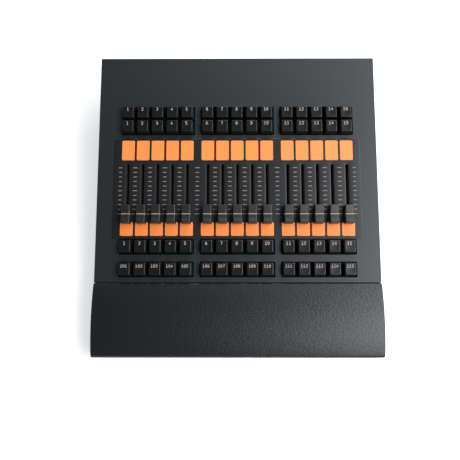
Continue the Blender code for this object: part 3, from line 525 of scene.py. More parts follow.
def arc(x, y, reach_x, reach_y, start, end, steps=10):
    """Points from one angle to another round an ellipse, in degrees."""
    turns = [math.radians(start + (end - start) * step / steps) for step in range(steps + 1)]
    return [(x + reach_x * math.cos(turn), y + reach_y * math.sin(turn)) for turn in turns]


def circle(x, y, radius, steps=32):
    return arc(x, y, radius, radius, 0, 360, steps)[:-1]


def slot_outline(x, y0, y1, width):
    """An upright slot with round ends."""
    radius = width / 2
    return arc(x, y1 - radius, radius, radius, 0, 180) + arc(x, y0 + radius, radius, radius, 180, 360)


def rectangle(x0, y0, x1, y1):
    return [(x0, y0), (x1, y0), (x1, y1), (x0, y1)]


def rounded_rectangle(x0, y0, x1, y1, corner, steps=4, sides=1):
    """An anticlockwise outline with round corners, and its straight sides in this many pieces."""
    first, *others = rectangle(x0 + corner, y0 + corner, x1 - corner, y1 - corner)
    centres = enumerate((*others, first))
    arcs = [arc(x, y, corner, corner, 90 * turn - 90, 90 * turn, steps) for turn, (x, y) in centres]
    outline = []
    for bend, after in zip(arcs, arcs[1:] + arcs[:1]):
        start, end = Vector(bend[-1]), Vector(after[0])
        outline += bend
        outline += [tuple(start.lerp(end, piece / sides)) for piece in range(1, sides)]
    return outline


def centred(x, y, width, height, corner, *shape):
    """A rounded rectangle about a point."""
    return rounded_rectangle(x - width / 2, y - height / 2, x + width / 2, y + height / 2, corner, *shape)


def setting_back(x0, y0, x1, y1, corner, side=1):
    """A rounded rectangle as a function of its set-back: outwards for a hole, or inwards with side -1."""
    def outline(back):
        grow = side * back
        return rounded_rectangle(x0 - grow, y0 - grow, x1 + grow, y1 + grow, corner + grow)

    return outline


def cut_outline(width, height, cut, soft=None, steps=4):
    """An anticlockwise outline about zero, its corners cut off straight, or the lower two round."""
    x, y = width / 2, height / 2
    outline = []
    for side_x, side_y, start in ((1, -1, -90), (1, 1, 0), (-1, 1, 90), (-1, -1, 180)):
        if soft and side_y < 0:
            outline += arc(side_x * (x - soft), side_y * (y - soft), soft, soft, start, start + 90, steps)
        else:
            ends = arc(side_x * (x - cut), side_y * (y - cut), cut, cut, start, start + 90, 1)
            first, last = Vector(ends[0]), Vector(ends[1])
            outline += [tuple(first.lerp(last, step / steps)) for step in range(steps + 1)]
    return outline


def level(outline, height):
    """An outline of X and Y at a height."""
    return [(x, y, height) for x, y in outline]


def across(outline, x):
    """An outline of Y and Z at this X."""
    return [(x, y, z) for y, z in outline]


def loft(work, rings, closed=True):
    """Skins rings of as many points each, and closes its ends."""
    rows = [[work.verts.new(point) for point in ring] for ring in rings]
    for low, high in zip(rows, rows[1:]):
        for index in range(len(low)):
            after = (index + 1) % len(low)
            work.faces.new((low[index], low[after], high[after], high[index]))
    if closed:
        work.faces.new(rows[0])
        work.faces.new(rows[-1])
    return rows


def prism(work, outline, low, high):
    loft(work, [level(outline, low), level(outline, high)])


def beam(work, outline, low, high):
    """A straight piece along X with this outline of Y and Z."""
    loft(work, [across(outline, low), across(outline, high)])


def quarter(reach, drop=None, steps=4):
    """Set-back and depth at each step round an edge, from the wall to the face."""
    drop = reach if drop is None else drop
    turns = [math.radians(90) * step / steps for step in range(steps + 1)]
    return [(reach * (1 - math.cos(turn)), drop * (1 - math.sin(turn))) for turn in turns]


def sheet(work, loops, low, high):
    """A flat plate between two heights. Each loop gives an outline as a function of its set-back, and how far its
    edge reaches and drops, with the number of steps if not four; the first is the plate's outline and the rest
    are holes."""
    tops, bottoms = [], []
    for outline, reach, drop, *steps in loops:
        rings = [level(outline(0.0), low)]
        rings += [level(outline(back), high - depth) for back, depth in quarter(reach, drop, *steps)]
        rows = loft(work, rings, False)
        bottoms.append(rows[0])
        tops.append(rows[-1])
    for rows in (tops, bottoms):
        edges = []
        for row in rows:
            for index, vertex in enumerate(row):
                edges.append(work.edges.get((vertex, row[(index + 1) % len(row)])))
        bmesh.ops.triangle_fill(work, use_beauty=True, use_dissolve=False, edges=edges)


def lathe(work, profile, steps=32, x=0.0, y=0.0):
    """A turned piece about a vertical axis, from (radius, height) points."""
    loft(work, [level(circle(x, y, radius, steps), height) for radius, height in profile])


def build(name, *parts):
    """One mesh of closed shapes: each part is a function that adds faces, and the name of their finish."""
    work = bmesh.new()
    used = []
    for fill, finish in parts:
        count = len(work.faces)
        fill(work)
        if finish not in used:
            used.append(finish)
        for face in list(work.faces)[count:]:
            face.material_index = used.index(finish)
    bmesh.ops.recalc_face_normals(work, faces=work.faces)
    mesh = bpy.data.meshes.new(name)
    work.to_mesh(mesh)
    work.free()
    mesh.shade_smooth()
    mesh.set_sharp_from_angle(angle=SMOOTH_ANGLE)
    for finish in used:
        mesh.materials.append(FINISHES[finish])
    return mesh


def link(name, data):
    made = bpy.data.objects.new(name, data)
    bpy.context.scene.collection.objects.link(made)
    return made


def add(name, mesh, body="case", stands_for=(), place=SLOPE, even_faces=True):
    """A piece of the object, in its place, on its body."""
    made = link(name, mesh)
    made.matrix_world = place
    if even_faces:
        made.modifiers.new("even_faces", "WEIGHTED_NORMAL").keep_sharp = True
    if stands_for:
        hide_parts(*stands_for)
    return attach(made, body)


def combine(mesh, *others, operation="DIFFERENCE"):
    """The mesh with other shapes cut out of it, or joined to it."""
    target = link(mesh.name, mesh)
    helpers = [link("helper", other) for other in others]
    for helper in helpers:
        change = target.modifiers.new("combine", "BOOLEAN")
        change.operation = operation
        change.solver = "EXACT"
        change.object = helper
    graph = bpy.context.evaluated_depsgraph_get()
    made = bpy.data.meshes.new_from_object(target.evaluated_get(graph))
    for used in (target, *helpers):
        bpy.data.objects.remove(used)
    made.shade_smooth()
    made.set_sharp_from_angle(angle=SMOOTH_ANGLE)
    return made


def facing(place, outward, up):
    """The place of a piece whose own Z points outward and whose own Y points up."""
    side = Vector(up).cross(Vector(outward))
    turn = Matrix((side, up, outward)).transposed().to_4x4()
    return Matrix.Translation(place) @ turn


def on_deck(x, v):
    """The place of a piece whose own zero is at panel level."""
    return SLOPE @ Matrix.Translation((x, v, PANEL_TOP))


# Each figure as strokes on a field one high, from its lower left corner
FIGURES = {
    "0": [arc(0.30, 0.50, 0.24, 0.43, 90, 450, 16)],
    "1": [[(0.08, 0.76), (0.32, 0.93), (0.32, 0.07)], [(0.08, 0.07), (0.56, 0.07)]],
    "2": [arc(0.30, 0.69, 0.23, 0.24, 170, -35) + [(0.06, 0.07), (0.56, 0.07)]],
    "3": [arc(0.28, 0.71, 0.22, 0.22, 150, -90), arc(0.28, 0.28, 0.25, 0.21, 90, -150)],
    "4": [[(0.42, 0.07), (0.42, 0.93), (0.05, 0.30), (0.58, 0.30)]],
    "5": [[(0.52, 0.93), (0.13, 0.93), (0.10, 0.54)] + arc(0.28, 0.33, 0.26, 0.26, 115, -150)],
    "6": [arc(0.34, 0.50, 0.27, 0.43, 60, 190) + arc(0.31, 0.31, 0.24, 0.24, 180, 530, 14)],
    "7": [[(0.05, 0.93), (0.55, 0.93), (0.24, 0.07)]],
    "8": [arc(0.30, 0.71, 0.20, 0.21, 90, 450, 14), arc(0.30, 0.29, 0.24, 0.22, 90, 450, 14)],
    "9": [arc(0.26, 0.50, 0.27, 0.43, -120, 10) + arc(0.29, 0.69, 0.24, 0.24, 0, 350, 14)],
}


def stroke(work, points, width, surface):
    """A printed line of this width along the points, laid on a surface that gives its height."""
    rings = []
    for index, point in enumerate(points):
        before = Vector(points[max(index - 1, 0)])
        after = Vector(points[min(index + 1, len(points) - 1)])
        here = Vector(point)
        along = (here - before).normalized() + (after - here).normalized()
        along = along.normalized() if along.length > 0.1 else (after - before).normalized()
        leg = after - here if index == 0 else here - before
        lean = max(0.6, along.dot(leg.normalized()))
        side = Vector((-along.y, along.x)) * (width / 2 / lean)
        ring = []
        for edge, lift in ((side, 1), (-side, 1), (-side, -1), (side, -1)):
            x, y = here + edge
            ring.append((x, y, surface(x, y) + lift * NUMERAL_PROUD))
        rings.append(ring)
    loft(work, rings)


def numeral(work, text, x, v, surface, height):
    """Printed figures centred on a point."""
    width = len(text) * DIGIT_WIDTH + (len(text) - 1) * DIGIT_SPACE
    for place, figure in enumerate(text):
        left = x + height * (place * (DIGIT_WIDTH + DIGIT_SPACE) - width / 2)
        for points in FIGURES[figure]:
            line = [(left + px * height, v + (py - 0.5) * height) for px, py in points]
            stroke(work, line, STROKE * height, surface)


def key_face_height(x, v):
    """Height of a key's dished face over the panel, at a point measured from the key's middle."""
    aside = (x - KEY_FACE_SIDE) / (KEY_FACE_WIDTH / 2)
    along = (v - KEY_FACE_SHIFT) / (KEY_FACE_LENGTH / 2)
    share = aside * aside + along * along
    return KEY_TOP_OVER_PANEL - KEY_DISH * max(0.0, 1 - share)


def key_ring(width, length, corner, height, x=KEY_FACE_SIDE, v=KEY_FACE_SHIFT):
    return level(centred(x, v, width, length, corner, 4, KEY_SIDE_PIECES), height)


def key_cap(work):
    """A key cap: tapering sides, a rolled edge and a dished face."""
    rings = [key_ring(KEY_WIDTH, KEY_LENGTH, KEY_CORNER, KEY_SKIRT, 0.0, 0.0)]
    for back, drop in quarter(KEY_ROLL, KEY_ROLL_DROP):
        width, length = KEY_FACE_WIDTH - 2 * back, KEY_FACE_LENGTH - 2 * back
        rings.append(key_ring(width, length, KEY_FACE_CORNER, KEY_TOP_OVER_PANEL - drop))
    for share in KEY_DISH_RINGS:
        ring = key_ring(width * share, length * share, KEY_FACE_CORNER * share, 0.0)
        rings.append([(x, v, key_face_height(x, v)) for x, v, _ in ring])
    loft(work, rings)


def key_mesh(text):
    def figures(work):
        height = NUMERAL_HEIGHT if len(text) == 3 else SMALL_HEIGHT
        numeral(work, text, NUMERAL_SHIFT, KEY_FACE_SHIFT + NUMERAL_RISE, key_face_height, height)

    return build("key_" + text, (key_cap, "keys"), (figures, "figures"))


def keys():
    for channel, x in enumerate(CHANNEL_X):
        small = key_mesh(str(channel + 1))
        large = key_mesh(str(FIRST_BUTTON + channel))
        for row, v in enumerate(UPPER_ROWS):
            stands_for = ("upper_key_board",) if channel == row == 0 else ()
            name = f"upper_key_{row + 1}_{channel + 1:02d}"
            add(name, small, stands_for=stands_for, place=on_deck(x, v))
        for node, mesh, v in ((flash_name(channel), small, FLASH_V), (button_name(channel), large, BUTTON_V)):
            add(f"{node}_cap", mesh, node, (node,), on_deck(x, v))


def upper_switches():
    """The board and switches under the two upper rows."""
    low, high = deck_box("upper_key_board")
    board_top = low.z + KEY_BOARD

    def board(work):
        prism(work, rectangle(low.x, low.y, high.x, high.y), low.z, board_top)

    def switches(work):
        for v in UPPER_ROWS:
            for x in CHANNEL_X:
                outline = centred(x, v, SWITCH_WIDTH, SWITCH_WIDTH, SWITCH_CORNER, 2)
                prism(work, outline, board_top, PANEL_TOP - SWITCH_DROP)

    add("upper_switches", build("upper_switches", (board, "board"), (switches, "connector")))


def top_panel():
    """The panel's sheet, with its openings for the keys' groups and under the fader plate."""
    low, high = PANEL
    side, reach = KEY_WIDTH / 2 + WINDOW_GAP, KEY_LENGTH / 2 + WINDOW_GAP
    loops = [(setting_back(low.x, low.y, high.x, high.y, 2 * PANEL_EDGE, -1), PANEL_EDGE, PANEL_EDGE)]
    for v0, v1 in ((UPPER_ROWS[1], UPPER_ROWS[0]), (FLASH_V, FLASH_V), (BUTTON_V, BUTTON_V)):
        for group in GROUPS:
            window = setting_back(group[0] - side, v0 - reach, group[-1] + side, v1 + reach, WINDOW_CORNER)
            loops.append((window, WINDOW_EDGE, WINDOW_EDGE))
    left, right = PLATE[0].x + PLATE_LAP, PLATE[1].x - PLATE_LAP
    front, rear = LOWER_STRIP[0].y - LABEL_GAP, UPPER_STRIP[1].y + LABEL_GAP

    def under_plate(back):
        return rounded_rectangle(left - back, front - back, right + back, rear + back, WINDOW_CORNER)

    loops.append((under_plate, WINDOW_EDGE, WINDOW_EDGE))

    def panel(work):
        sheet(work, loops, PANEL_TOP - PANEL_THICKNESS, PANEL_TOP)

    add("panel_sheet", build("panel", (panel, "case")), stands_for=("top_panel",))


def label_loops(strip, margin):
    """The label fields of one strip, or with a margin the windows round them."""
    v0, v1 = strip[0].y + STRIP_MARGIN - margin, strip[1].y - STRIP_MARGIN + margin
    half = strip[1].x - CHANNEL_X[-1] - STRIP_MARGIN - LABEL_SIDE + margin
    return [setting_back(x - half, v0, x + half, v1, LABEL_CORNER) for x in CHANNEL_X]


def fader_plate():
    """The plate, with a chamfered slot for each fader and windows for the label fields."""
    low, high = PLATE
    half, reach = SLOT_WIDTH / 2, BLADE_LENGTH / 2 + SLOT_ROOM
    front, rear = FADER_V - reach, FADER_V + TRAVEL + reach
    outline = setting_back(low.x, low.y, high.x, high.y, PLATE_CORNER, -1)
    slots = [setting_back(x - half, front, x + half, rear, SLOT_CORNER) for x in CHANNEL_X]
    loops = [(outline, PLATE_EDGE, PLATE_EDGE_DROP, 1)]
    loops += [(slot, SLOT_LIP, SLOT_LIP_DROP, 1) for slot in slots]
    for strip in (UPPER_STRIP, LOWER_STRIP):
        loops += [(window, LABEL_EDGE, LABEL_EDGE) for window in label_loops(strip, LABEL_GAP)]

    def plate(work):
        sheet(work, loops, low.z, high.z)

    add("fader_plate_sheet", build("plate", (plate, "plate")), stands_for=("fader_plate",))


def label_strip(name, strip):
    """One carrier strip with its raised label fields."""
    low, high = strip
    base_top = low.z + STRIP_BASE

    def fields(work):
        prism(work, rectangle(low.x, low.y, high.x, high.y), low.z, base_top)
        for outline in label_loops(strip, 0.0):
            rings = [level(outline(0.0), base_top - FIELD_SINK)]
            rings += [level(outline(-back), high.z - drop) for back, drop in quarter(LABEL_EDGE)]
            loft(work, rings)

    add(name + "_fields", build(name + "_fields", (fields, "labels")), stands_for=(name,))


def scale_marks():
    """Eleven printed marks between the slots, from the foot of the scale to its top."""
    spacing = (CHANNEL_X[1] - CHANNEL_X[0]) / 2
    columns = [CHANNEL_X[0] - spacing]
    columns += [(left + right) / 2 for left, right in zip(CHANNEL_X, CHANNEL_X[1:])]
    columns.append(CHANNEL_X[-1] + spacing)

    def marks(work):
        for x in columns:
            share = OUTER_SHARE if x in (columns[0], columns[-1]) else 1.0
            for mark in range(MARKS):
                v = ZERO_V + SCALE_LENGTH * mark / (MARKS - 1)
                length = (MAJOR_LENGTH if mark % MAJOR_EVERY == 0 else MARK_LENGTH) * share
                outline = centred(x, v, length, MARK_THICKNESS, MARK_THICKNESS / 4, 2)
                prism(work, outline, PLATE_TOP - MARK_HEIGHT, PLATE_TOP + MARK_HEIGHT)

    add("scale_marks", build("scale_marks", (marks, "marks")), even_faces=False)


def cap_top(v):
    """Height of a fader cap's saddle over the panel, at this distance from the index line."""
    share = min(1.0, abs(v) / (CAP_HALF_LENGTH - CAP_END_FALL))
    return CAP_CREST - CAP_DIP * (1 - share * share)


def cap_section(v, inset=0.0):
    """A fader cap's cross-section as (x, height), from its left foot over the top to its right foot."""
    top = cap_top(v) - inset
    top_x = CAP_TOP_WIDTH / 2 - inset
    right = [(CAP_HALF_WIDTH - inset, CAP_FOOT)]
    right += [(top_x - back, top - drop) for back, drop in quarter(CAP_ROLL)]
    return [(-x, height) for x, height in right] + right[::-1]


def cap_body(work):
    end = [(CAP_HALF_LENGTH - drop, inset) for inset, drop in quarter(CAP_END_ROLL)]
    inner = end[0][0]
    stations = [(-v, inset) for v, inset in reversed(end)]
    stations += [(-inner + 2 * inner * step / CAP_STEPS, 0.0) for step in range(1, CAP_STEPS)]
    stations += end
    loft(work, [[(x, v, height) for x, height in cap_section(v, inset)] for v, inset in stations])


def cap_index(work):
    """The index line, let into the cap over its top and part of the way down its sides."""
    lowest = CAP_CREST - CAP_DIP - INDEX_DROP
    rings = []
    for v in (-INDEX_WIDTH / 2, INDEX_WIDTH / 2):
        outer = cap_section(v, -INDEX_PROUD)
        inner = cap_section(v, INDEX_SINK)
        share = (lowest - CAP_FOOT) / (outer[1][1] - CAP_FOOT)
        for section in (outer, inner):
            for foot, shoulder in ((0, 1), (-1, -2)):
                x = section[foot][0] + (section[shoulder][0] - section[foot][0]) * share
                section[foot] = (x, lowest)
        rings.append([(x, v, height) for x, height in outer + inner[::-1]])
    loft(work, rings)


def cap_blade(work):
    x, v = BLADE_THICKNESS / 2, BLADE_LENGTH / 2
    prism(work, rectangle(-x, -v, x, v), BLADE_FOOT, CAP_FOOT + BLADE_SINK)


def fader_caps():
    mesh = build("fader_cap", (cap_body, "caps"), (cap_index, "index"), (cap_blade, "steel"))
    for channel, x in enumerate(CHANNEL_X):
        node = fader_name(channel)
        add(f"{node}_cap", mesh, node, (node,), on_deck(x, FADER_V))


def palm_crown(inset):
    """Centre and radius of the palm rest's crown, seen along X."""
    low, high = PALM
    back = Vector((high.y, PALM_BACK_TOP))
    front = Vector((low.y, PALM_BACK_TOP - PALM_FALL))
    half = (front - back).length / 2
    radius = (half * half + PALM_CROWN * PALM_CROWN) / (2 * PALM_CROWN)
    up = Vector((front.y - back.y, back.x - front.x)).normalized()
    return (back + front) / 2 - up * (radius - PALM_CROWN), radius - inset


def crown_height(crown, y):
    """World Z of a crown, given by its centre and radius, at this Y."""
    centre, radius = crown
    return centre.y + math.sqrt(radius * radius - (y - centre.x) ** 2)


def palm_profile(inset):
    """The palm rest's outline as (y, z), set in by an amount at its front, top and back."""
    low, high = PALM
    crown = palm_crown(inset)
    centre, radius = crown
    rolls = []
    for side, wall, roll in ((1, high.y - inset, PALM_BACK_ROLL), (-1, low.y + inset, PALM_NOSE_ROLL)):
        lean = 0.0
        for _ in range(6):  # closes in on where the roll meets the crown
            y = wall - side * roll * (1 - side * math.sin(lean))
            lean = math.asin((y - centre.x) / radius)
        hub = centre + Vector((math.sin(lean), math.cos(lean))) * (radius - roll)
        turns = [lean + (side * math.pi / 2 - lean) * step / PALM_ROLL_STEPS for step in range(PALM_ROLL_STEPS + 1)]
        rolls.append([(hub.x + roll * math.sin(turn), hub.y + roll * math.cos(turn)) for turn in turns])
    back, front = rolls
    start, end = back[0][0], front[0][0]
    between = [start + (end - start) * piece / CROWN_PIECES for piece in range(1, CROWN_PIECES)]
    top = [(y, crown_height(crown, y)) for y in between]
    return [(low.y + inset, low.z), (high.y - inset, low.z)] + back[::-1] + top + front


def palm_rest():
    """The hollow moulding, open at its back and underneath."""
    low, high = PALM

    def shell(work):
        end = [(high.x - drop, inset) for inset, drop in quarter(PALM_END_ROLL)]
        stations = [(-x, inset) for x, inset in reversed(end)] + end
        loft(work, [across(palm_profile(inset), x) for x, inset in stations])

    def hollow(work):
        crown = palm_crown(PALM_WALL)
        past_back, front, under = high.y + PALM_WALL, low.y + PALM_WALL, low.z - PALM_WALL
        back = high.y - PALM_WALL
        places = [back + (front - back) * piece / HOLLOW_PIECES for piece in range(HOLLOW_PIECES + 1)]
        outline = [(front, under), (past_back, under), (past_back, crown_height(crown, back))]
        outline += [(y, crown_height(crown, y)) for y in places]
        beam(work, outline, PALM_WALL - high.x, high.x - PALM_WALL)

    mesh = combine(build("palm_shell", (shell, "palm")), build("palm_hollow", (hollow, "palm")))
    add("palm_moulding", mesh, stands_for=("palm_rest",), place=LEVEL)


def groove_seal():
    """The dark strip that closes the groove between the panel and the palm rest just under its edges."""
    front = PALM[1].y + SEAL_PLAY
    top = PALM_BACK_TOP - SEAL_DROP

    def strip(work):
        reach = PANEL[1].x - SEAL_PLAY
        beam(work, rectangle(front, top - SEAL_HEIGHT, front + SEAL_WIDTH, top), -reach, reach)

    add("groove_seal", build("groove_seal", (strip, "rubber")), place=LEVEL)


def palm_bays():
    """X of each rib under the palm rest, and of each screw boss between them."""
    inner = PALM[1].x - PALM_WALL
    pitch = 2 * inner / (PALM_RIBS + 1)
    ribs = [-inner + pitch * (rib + 1) for rib in range(PALM_RIBS)]
    bosses = [-inner + pitch * (bay + 0.5) for bay in range(PALM_RIBS + 1)]
    return ribs, bosses


def palm_ribs():
    ribs, bosses = palm_bays()
    y = middle(PALM).y
    boss_top = crown_height(palm_crown(PALM_WALL / 2), y)

    def walls(work):
        outline = [(y, max(z, PALM_RIB_FOOT)) for y, z in palm_profile(RIB_INSET)]
        for rib in ribs:
            beam(work, outline, rib - RIB_THICKNESS / 2, rib + RIB_THICKNESS / 2)

    def posts(work):
        for boss in bosses:
            lathe(work, [(BOSS_RADIUS, FLOOR_TOP + SEAT_GAP), (BOSS_RADIUS, boss_top)], 20, boss, y)

    mesh = build("palm_ribs", (walls, "palm"), (posts, "palm"))
    add("palm_ribs", mesh, place=LEVEL, even_faces=False)


def under_panel(y, height):
    """World Z, at a world Y, of the plane at this height over the panel's upper face."""
    return (PANEL_TOP + height + y * SIN) / COS


def base_tray():
    """The folded tray: floor, walls with rolled folds, openings in the rear wall, and the palm rest's tongue."""
    half = PANEL[1].x
    rear = TRAY[1].y
    front = (SLOPE @ Vector((0.0, PANEL[0].y, PANEL_TOP - PANEL_THICKNESS))).y + SEAT_GAP

    def wedge(work, inset, floor, top):
        low, high = front + inset, rear - inset
        outline = [(low, floor), (high, floor), (high, under_panel(high, top)), (low, under_panel(low, top))]
        beam(work, outline, inset - half, half - inset)

    def body(work):
        wedge(work, 0.0, FLOOR_BOTTOM, -PANEL_THICKNESS - SEAT_GAP)
        folds = [edge for edge in work.edges if max(vertex.co.z for vertex in edge.verts) < FLOOR_TOP]
        bmesh.ops.bevel(work, geom=folds, offset=FOLD_RADIUS, segments=6, profile=0.5, affect="EDGES")

    def tongue(work):
        lip = TRAY[0].y
        root = front + FOLD_RADIUS + SHEET
        outline = [(lip, FLOOR_BOTTOM), (root, FLOOR_BOTTOM), (root, FLOOR_TOP), (lip + SHEET, FLOOR_TOP)]
        outline += [(lip + SHEET, FLOOR_BOTTOM + TONGUE_LIP), (lip, FLOOR_BOTTOM + TONGUE_LIP)]
        reach = PALM[1].x - PALM_WALL - SEAT_GAP
        beam(work, outline, -reach, reach)

    def hollow(work):
        wedge(work, SHEET, FLOOR_TOP, PANEL_THICKNESS)

    def openings(work):
        inlet, socket = middle(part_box("power_inlet")), middle(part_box("usb_socket"))
        wide, high = (size + 2 * SEAT_GAP for size in INLET_BODY)
        holes = [centred(inlet.x, inlet.z, wide, high, INLET_CORNER)]
        holes.append(circle(socket.x, socket.z, SOCKET_RADIUS + SEAT_GAP))
        for vent in range(VENTS):
            x = VENT_X + VENT_PITCH * (vent - (VENTS - 1) / 2)
            holes.append(slot_outline(x, inlet.z - VENT_HEIGHT / 2, inlet.z + VENT_HEIGHT / 2, VENT_WIDTH))
        for outline in holes:
            loft(work, [[(x, y, z) for x, z in outline] for y in (rear - 2 * SHEET, rear + SHEET)])

    full, lip, room, holes = (
        build(name, (fill, "case"))
        for name, fill in (("tray", body), ("tongue", tongue), ("tray_hollow", hollow), ("openings", openings))
    )
    mesh = combine(combine(full, lip, operation="UNION"), room, holes)
    add("tray", mesh, stands_for=("base_tray",), place=LEVEL)


def panel_underside():
    """The panel's side flanges, and the studs that hold the boards."""
    flange_x = PANEL[1].x - SHEET - SEAT_GAP
    low = PANEL_TOP - PANEL_THICKNESS - FLANGE_DEPTH
    high = PANEL_TOP - PANEL_THICKNESS / 2
    side = deck_box("main_board")[1].x - STUD_INSET
    between = abs(GROUPS[0][-1] + GROUPS[1][0]) / 2
    middle_v = middle(PLATE).y
    rows = (sum(UPPER_ROWS) / 2, (FLASH_V + BUTTON_V) / 2)

    def flanges(work):
        for sign in (-1, 1):
            x0, x1 = sorted((sign * flange_x, sign * (flange_x - PANEL_THICKNESS)))
            outline = rectangle(x0, PANEL[0].y + FLANGE_DEPTH, x1, PANEL[1].y - FLANGE_DEPTH)
            prism(work, outline, low, high)

    def studs(work):
        places = [(sign * x, v) for v in rows for x in (side, between) for sign in (-1, 1)]
        for x, v in places + [(-side, middle_v), (side, middle_v)]:
            lathe(work, [(STUD_RADIUS, BOARD_TOP + SEAT_GAP), (STUD_RADIUS, high)], 16, x, v)

    mesh = build("panel_underside", (flanges, "case"), (studs, "steel"))
    add("panel_underside", mesh, even_faces=False)


def notched(size, cut, soft=None, side=1):
    """A cut outline as a function of its set-back: outwards for a hole, or inwards with side -1."""
    return lambda back: cut_outline(size[0] + 2 * side * back, size[1] + 2 * side * back, cut, soft)


def sleeve(work, inner, outer, heights):
    """A hollow with this mouth in a round or square body, from the heights of its floor, rim and back."""
    floor, rim, back = heights
    loft(work, [level(inner, floor), level(inner, rim), level(outer, rim), level(outer, back)])


def rear_connector(name, node, parts):
    """A connector whose own zero is on the rear wall's face."""
    centre = middle(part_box(node))
    place = facing((centre.x, TRAY[1].y, centre.z), (0.0, 1.0, 0.0), (0.0, 0.0, 1.0))
    add(name, build(name, *parts), stands_for=(node,), place=place)


def rear_span(node):
    """How far a connector reaches into the case and out of it, from the rear wall's face."""
    low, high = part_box(node)
    return low.y - TRAY[1].y, high.y - TRAY[1].y


def power_inlet():
    """The three-pin mains inlet: flange, shrouded mouth and plated pins."""
    back, face = rear_span("power_inlet")
    floor = face - INLET_MOUTH_DEPTH
    mouth = notched(INLET_MOUTH, INLET_CUT, INLET_SOFT)
    rim = notched(INLET_FLANGE, INLET_CUT, side=-1)

    def flange(work):
        sheet(work, [(rim, *INLET_RIM_EDGE), (mouth, *INLET_MOUTH_EDGE)], SEAT_GAP, face)

    def shroud(work):
        outer = centred(0.0, 0.0, *INLET_BODY, INLET_CORNER)
        sleeve(work, mouth(0.0), outer, (floor, face - SHROUD_DROP, back))

    def pins(work):
        tip = floor + PIN_LENGTH
        stations = [(0.0, floor - PIN_SINK)] + [(inset, tip - short) for inset, short in PIN_TIP]
        for x, y in PIN_PLACES:
            loft(work, [
                level(centred(x, y, PIN_WIDTH - 2 * inset, PIN_HEIGHT - 2 * inset, PIN_CORNER, 2), z)
                for inset, z in stations
            ])

    parts = ((flange, "connector"), (shroud, "connector"), (pins, "nickel"))
    rear_connector("power_inlet_body", "power_inlet", parts)


def data_socket():
    """The square data port in its round panel housing, with a plated shell and a tongue of contacts."""
    back, face = rear_span("usb_socket")
    floor = face - SOCKET_DEPTH
    wide, high = (size / 2 for size in SOCKET_FLANGE)
    mouth = notched(SOCKET_MOUTH, SOCKET_CUT, SOCKET_SOFT)

    def disc(inset):
        return circle(0.0, 0.0, SOCKET_RADIUS - DISC_INSET - inset, 40)

    def housing(work):
        plate = setting_back(-wide, -high, wide, high, SOCKET_CORNER, -1)
        edges = [(plate, *SOCKET_PLATE_EDGE), (mouth, SOCKET_EDGE, SOCKET_EDGE)]
        sheet(work, edges, SEAT_GAP, face - SOCKET_PLATE_DROP)
        edges = [(disc, DISC_EDGE, DISC_EDGE), (mouth, DISC_MOUTH_EDGE, DISC_MOUTH_EDGE)]
        sheet(work, edges, face - DISC_THICKNESS, face)

    def barrel(work):
        outer = arc(0.0, 0.0, SOCKET_RADIUS, SOCKET_RADIUS, SOCKET_FLAT - 90, 270 - SOCKET_FLAT, 19)
        sleeve(work, mouth(0.0), outer, (floor, face - BARREL_DROP, back))

    def shell(work):
        (inner, outer), (low, high) = SHELL_INSETS, SHELL_FEET
        rim = face - SHELL_DROP
        stations = ((inner, floor + low), (inner, rim), (outer, rim), (outer, floor + high))
        loft(work, [level(mouth(-inset), z) for inset, z in stations])

    def tongue(work):
        width, height, length = TONGUE
        prism(work, centred(0.0, 0.0, width, height, TONGUE_CORNER, 2), floor, floor + length)

    def contacts(work):
        half_x, half_y = (size / 2 for size in CONTACT)
        for y in (-TONGUE[1] / 2, TONGUE[1] / 2):
            for x in (-CONTACT_SIDE, CONTACT_SIDE):
                outline = rectangle(x - half_x, y - half_y, x + half_x, y + half_y)
                prism(work, outline, floor + CONTACT_ENDS[0], floor + TONGUE[2] - CONTACT_ENDS[1])

    parts = [(housing, "connector"), (barrel, "connector"), (shell, "nickel")]
    parts += [(tongue, "connector"), (contacts, "nickel")]
    rear_connector("data_socket", "usb_socket", parts)


def feet():
    """Turned rubber feet, each with a recess for its screw."""

    def foot(work):
        height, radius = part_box(FEET[0])[1].z, FOOT_PROFILE[-1][0]
        lathe(work, [*FOOT_PROFILE, (radius, height - FOOT_ROLL), (radius - FOOT_ROLL, height)], 40)

    mesh = build("foot", (foot, "rubber"))
    for node in FEET:
        centre = middle(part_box(node))
        place = Matrix.Translation((centre.x, centre.y, 0.0))
        add(f"{node}_rubber", mesh, stands_for=(node,), place=place)


def screw_mesh():
    """A low domed screw head with a cross recess."""

    def head(work):
        lathe(work, SCREW_PROFILE)

    def cross(work):
        rings = []
        for share, z in CROSS_RINGS:
            long, short = CROSS_LONG * share, CROSS_SHORT * share
            outline = []
            for quarter_turn in range(4):
                turn = Matrix.Rotation(quarter_turn * math.pi / 2, 2)
                arm = ((long, -short), (long, short), (short, short))
                outline += [tuple(turn @ Vector(point)) for point in arm]
            rings.append(level(outline, z))
        loft(work, rings)

    return combine(build("screw", (head, "screws")), build("screw_cross", (cross, "screws")))


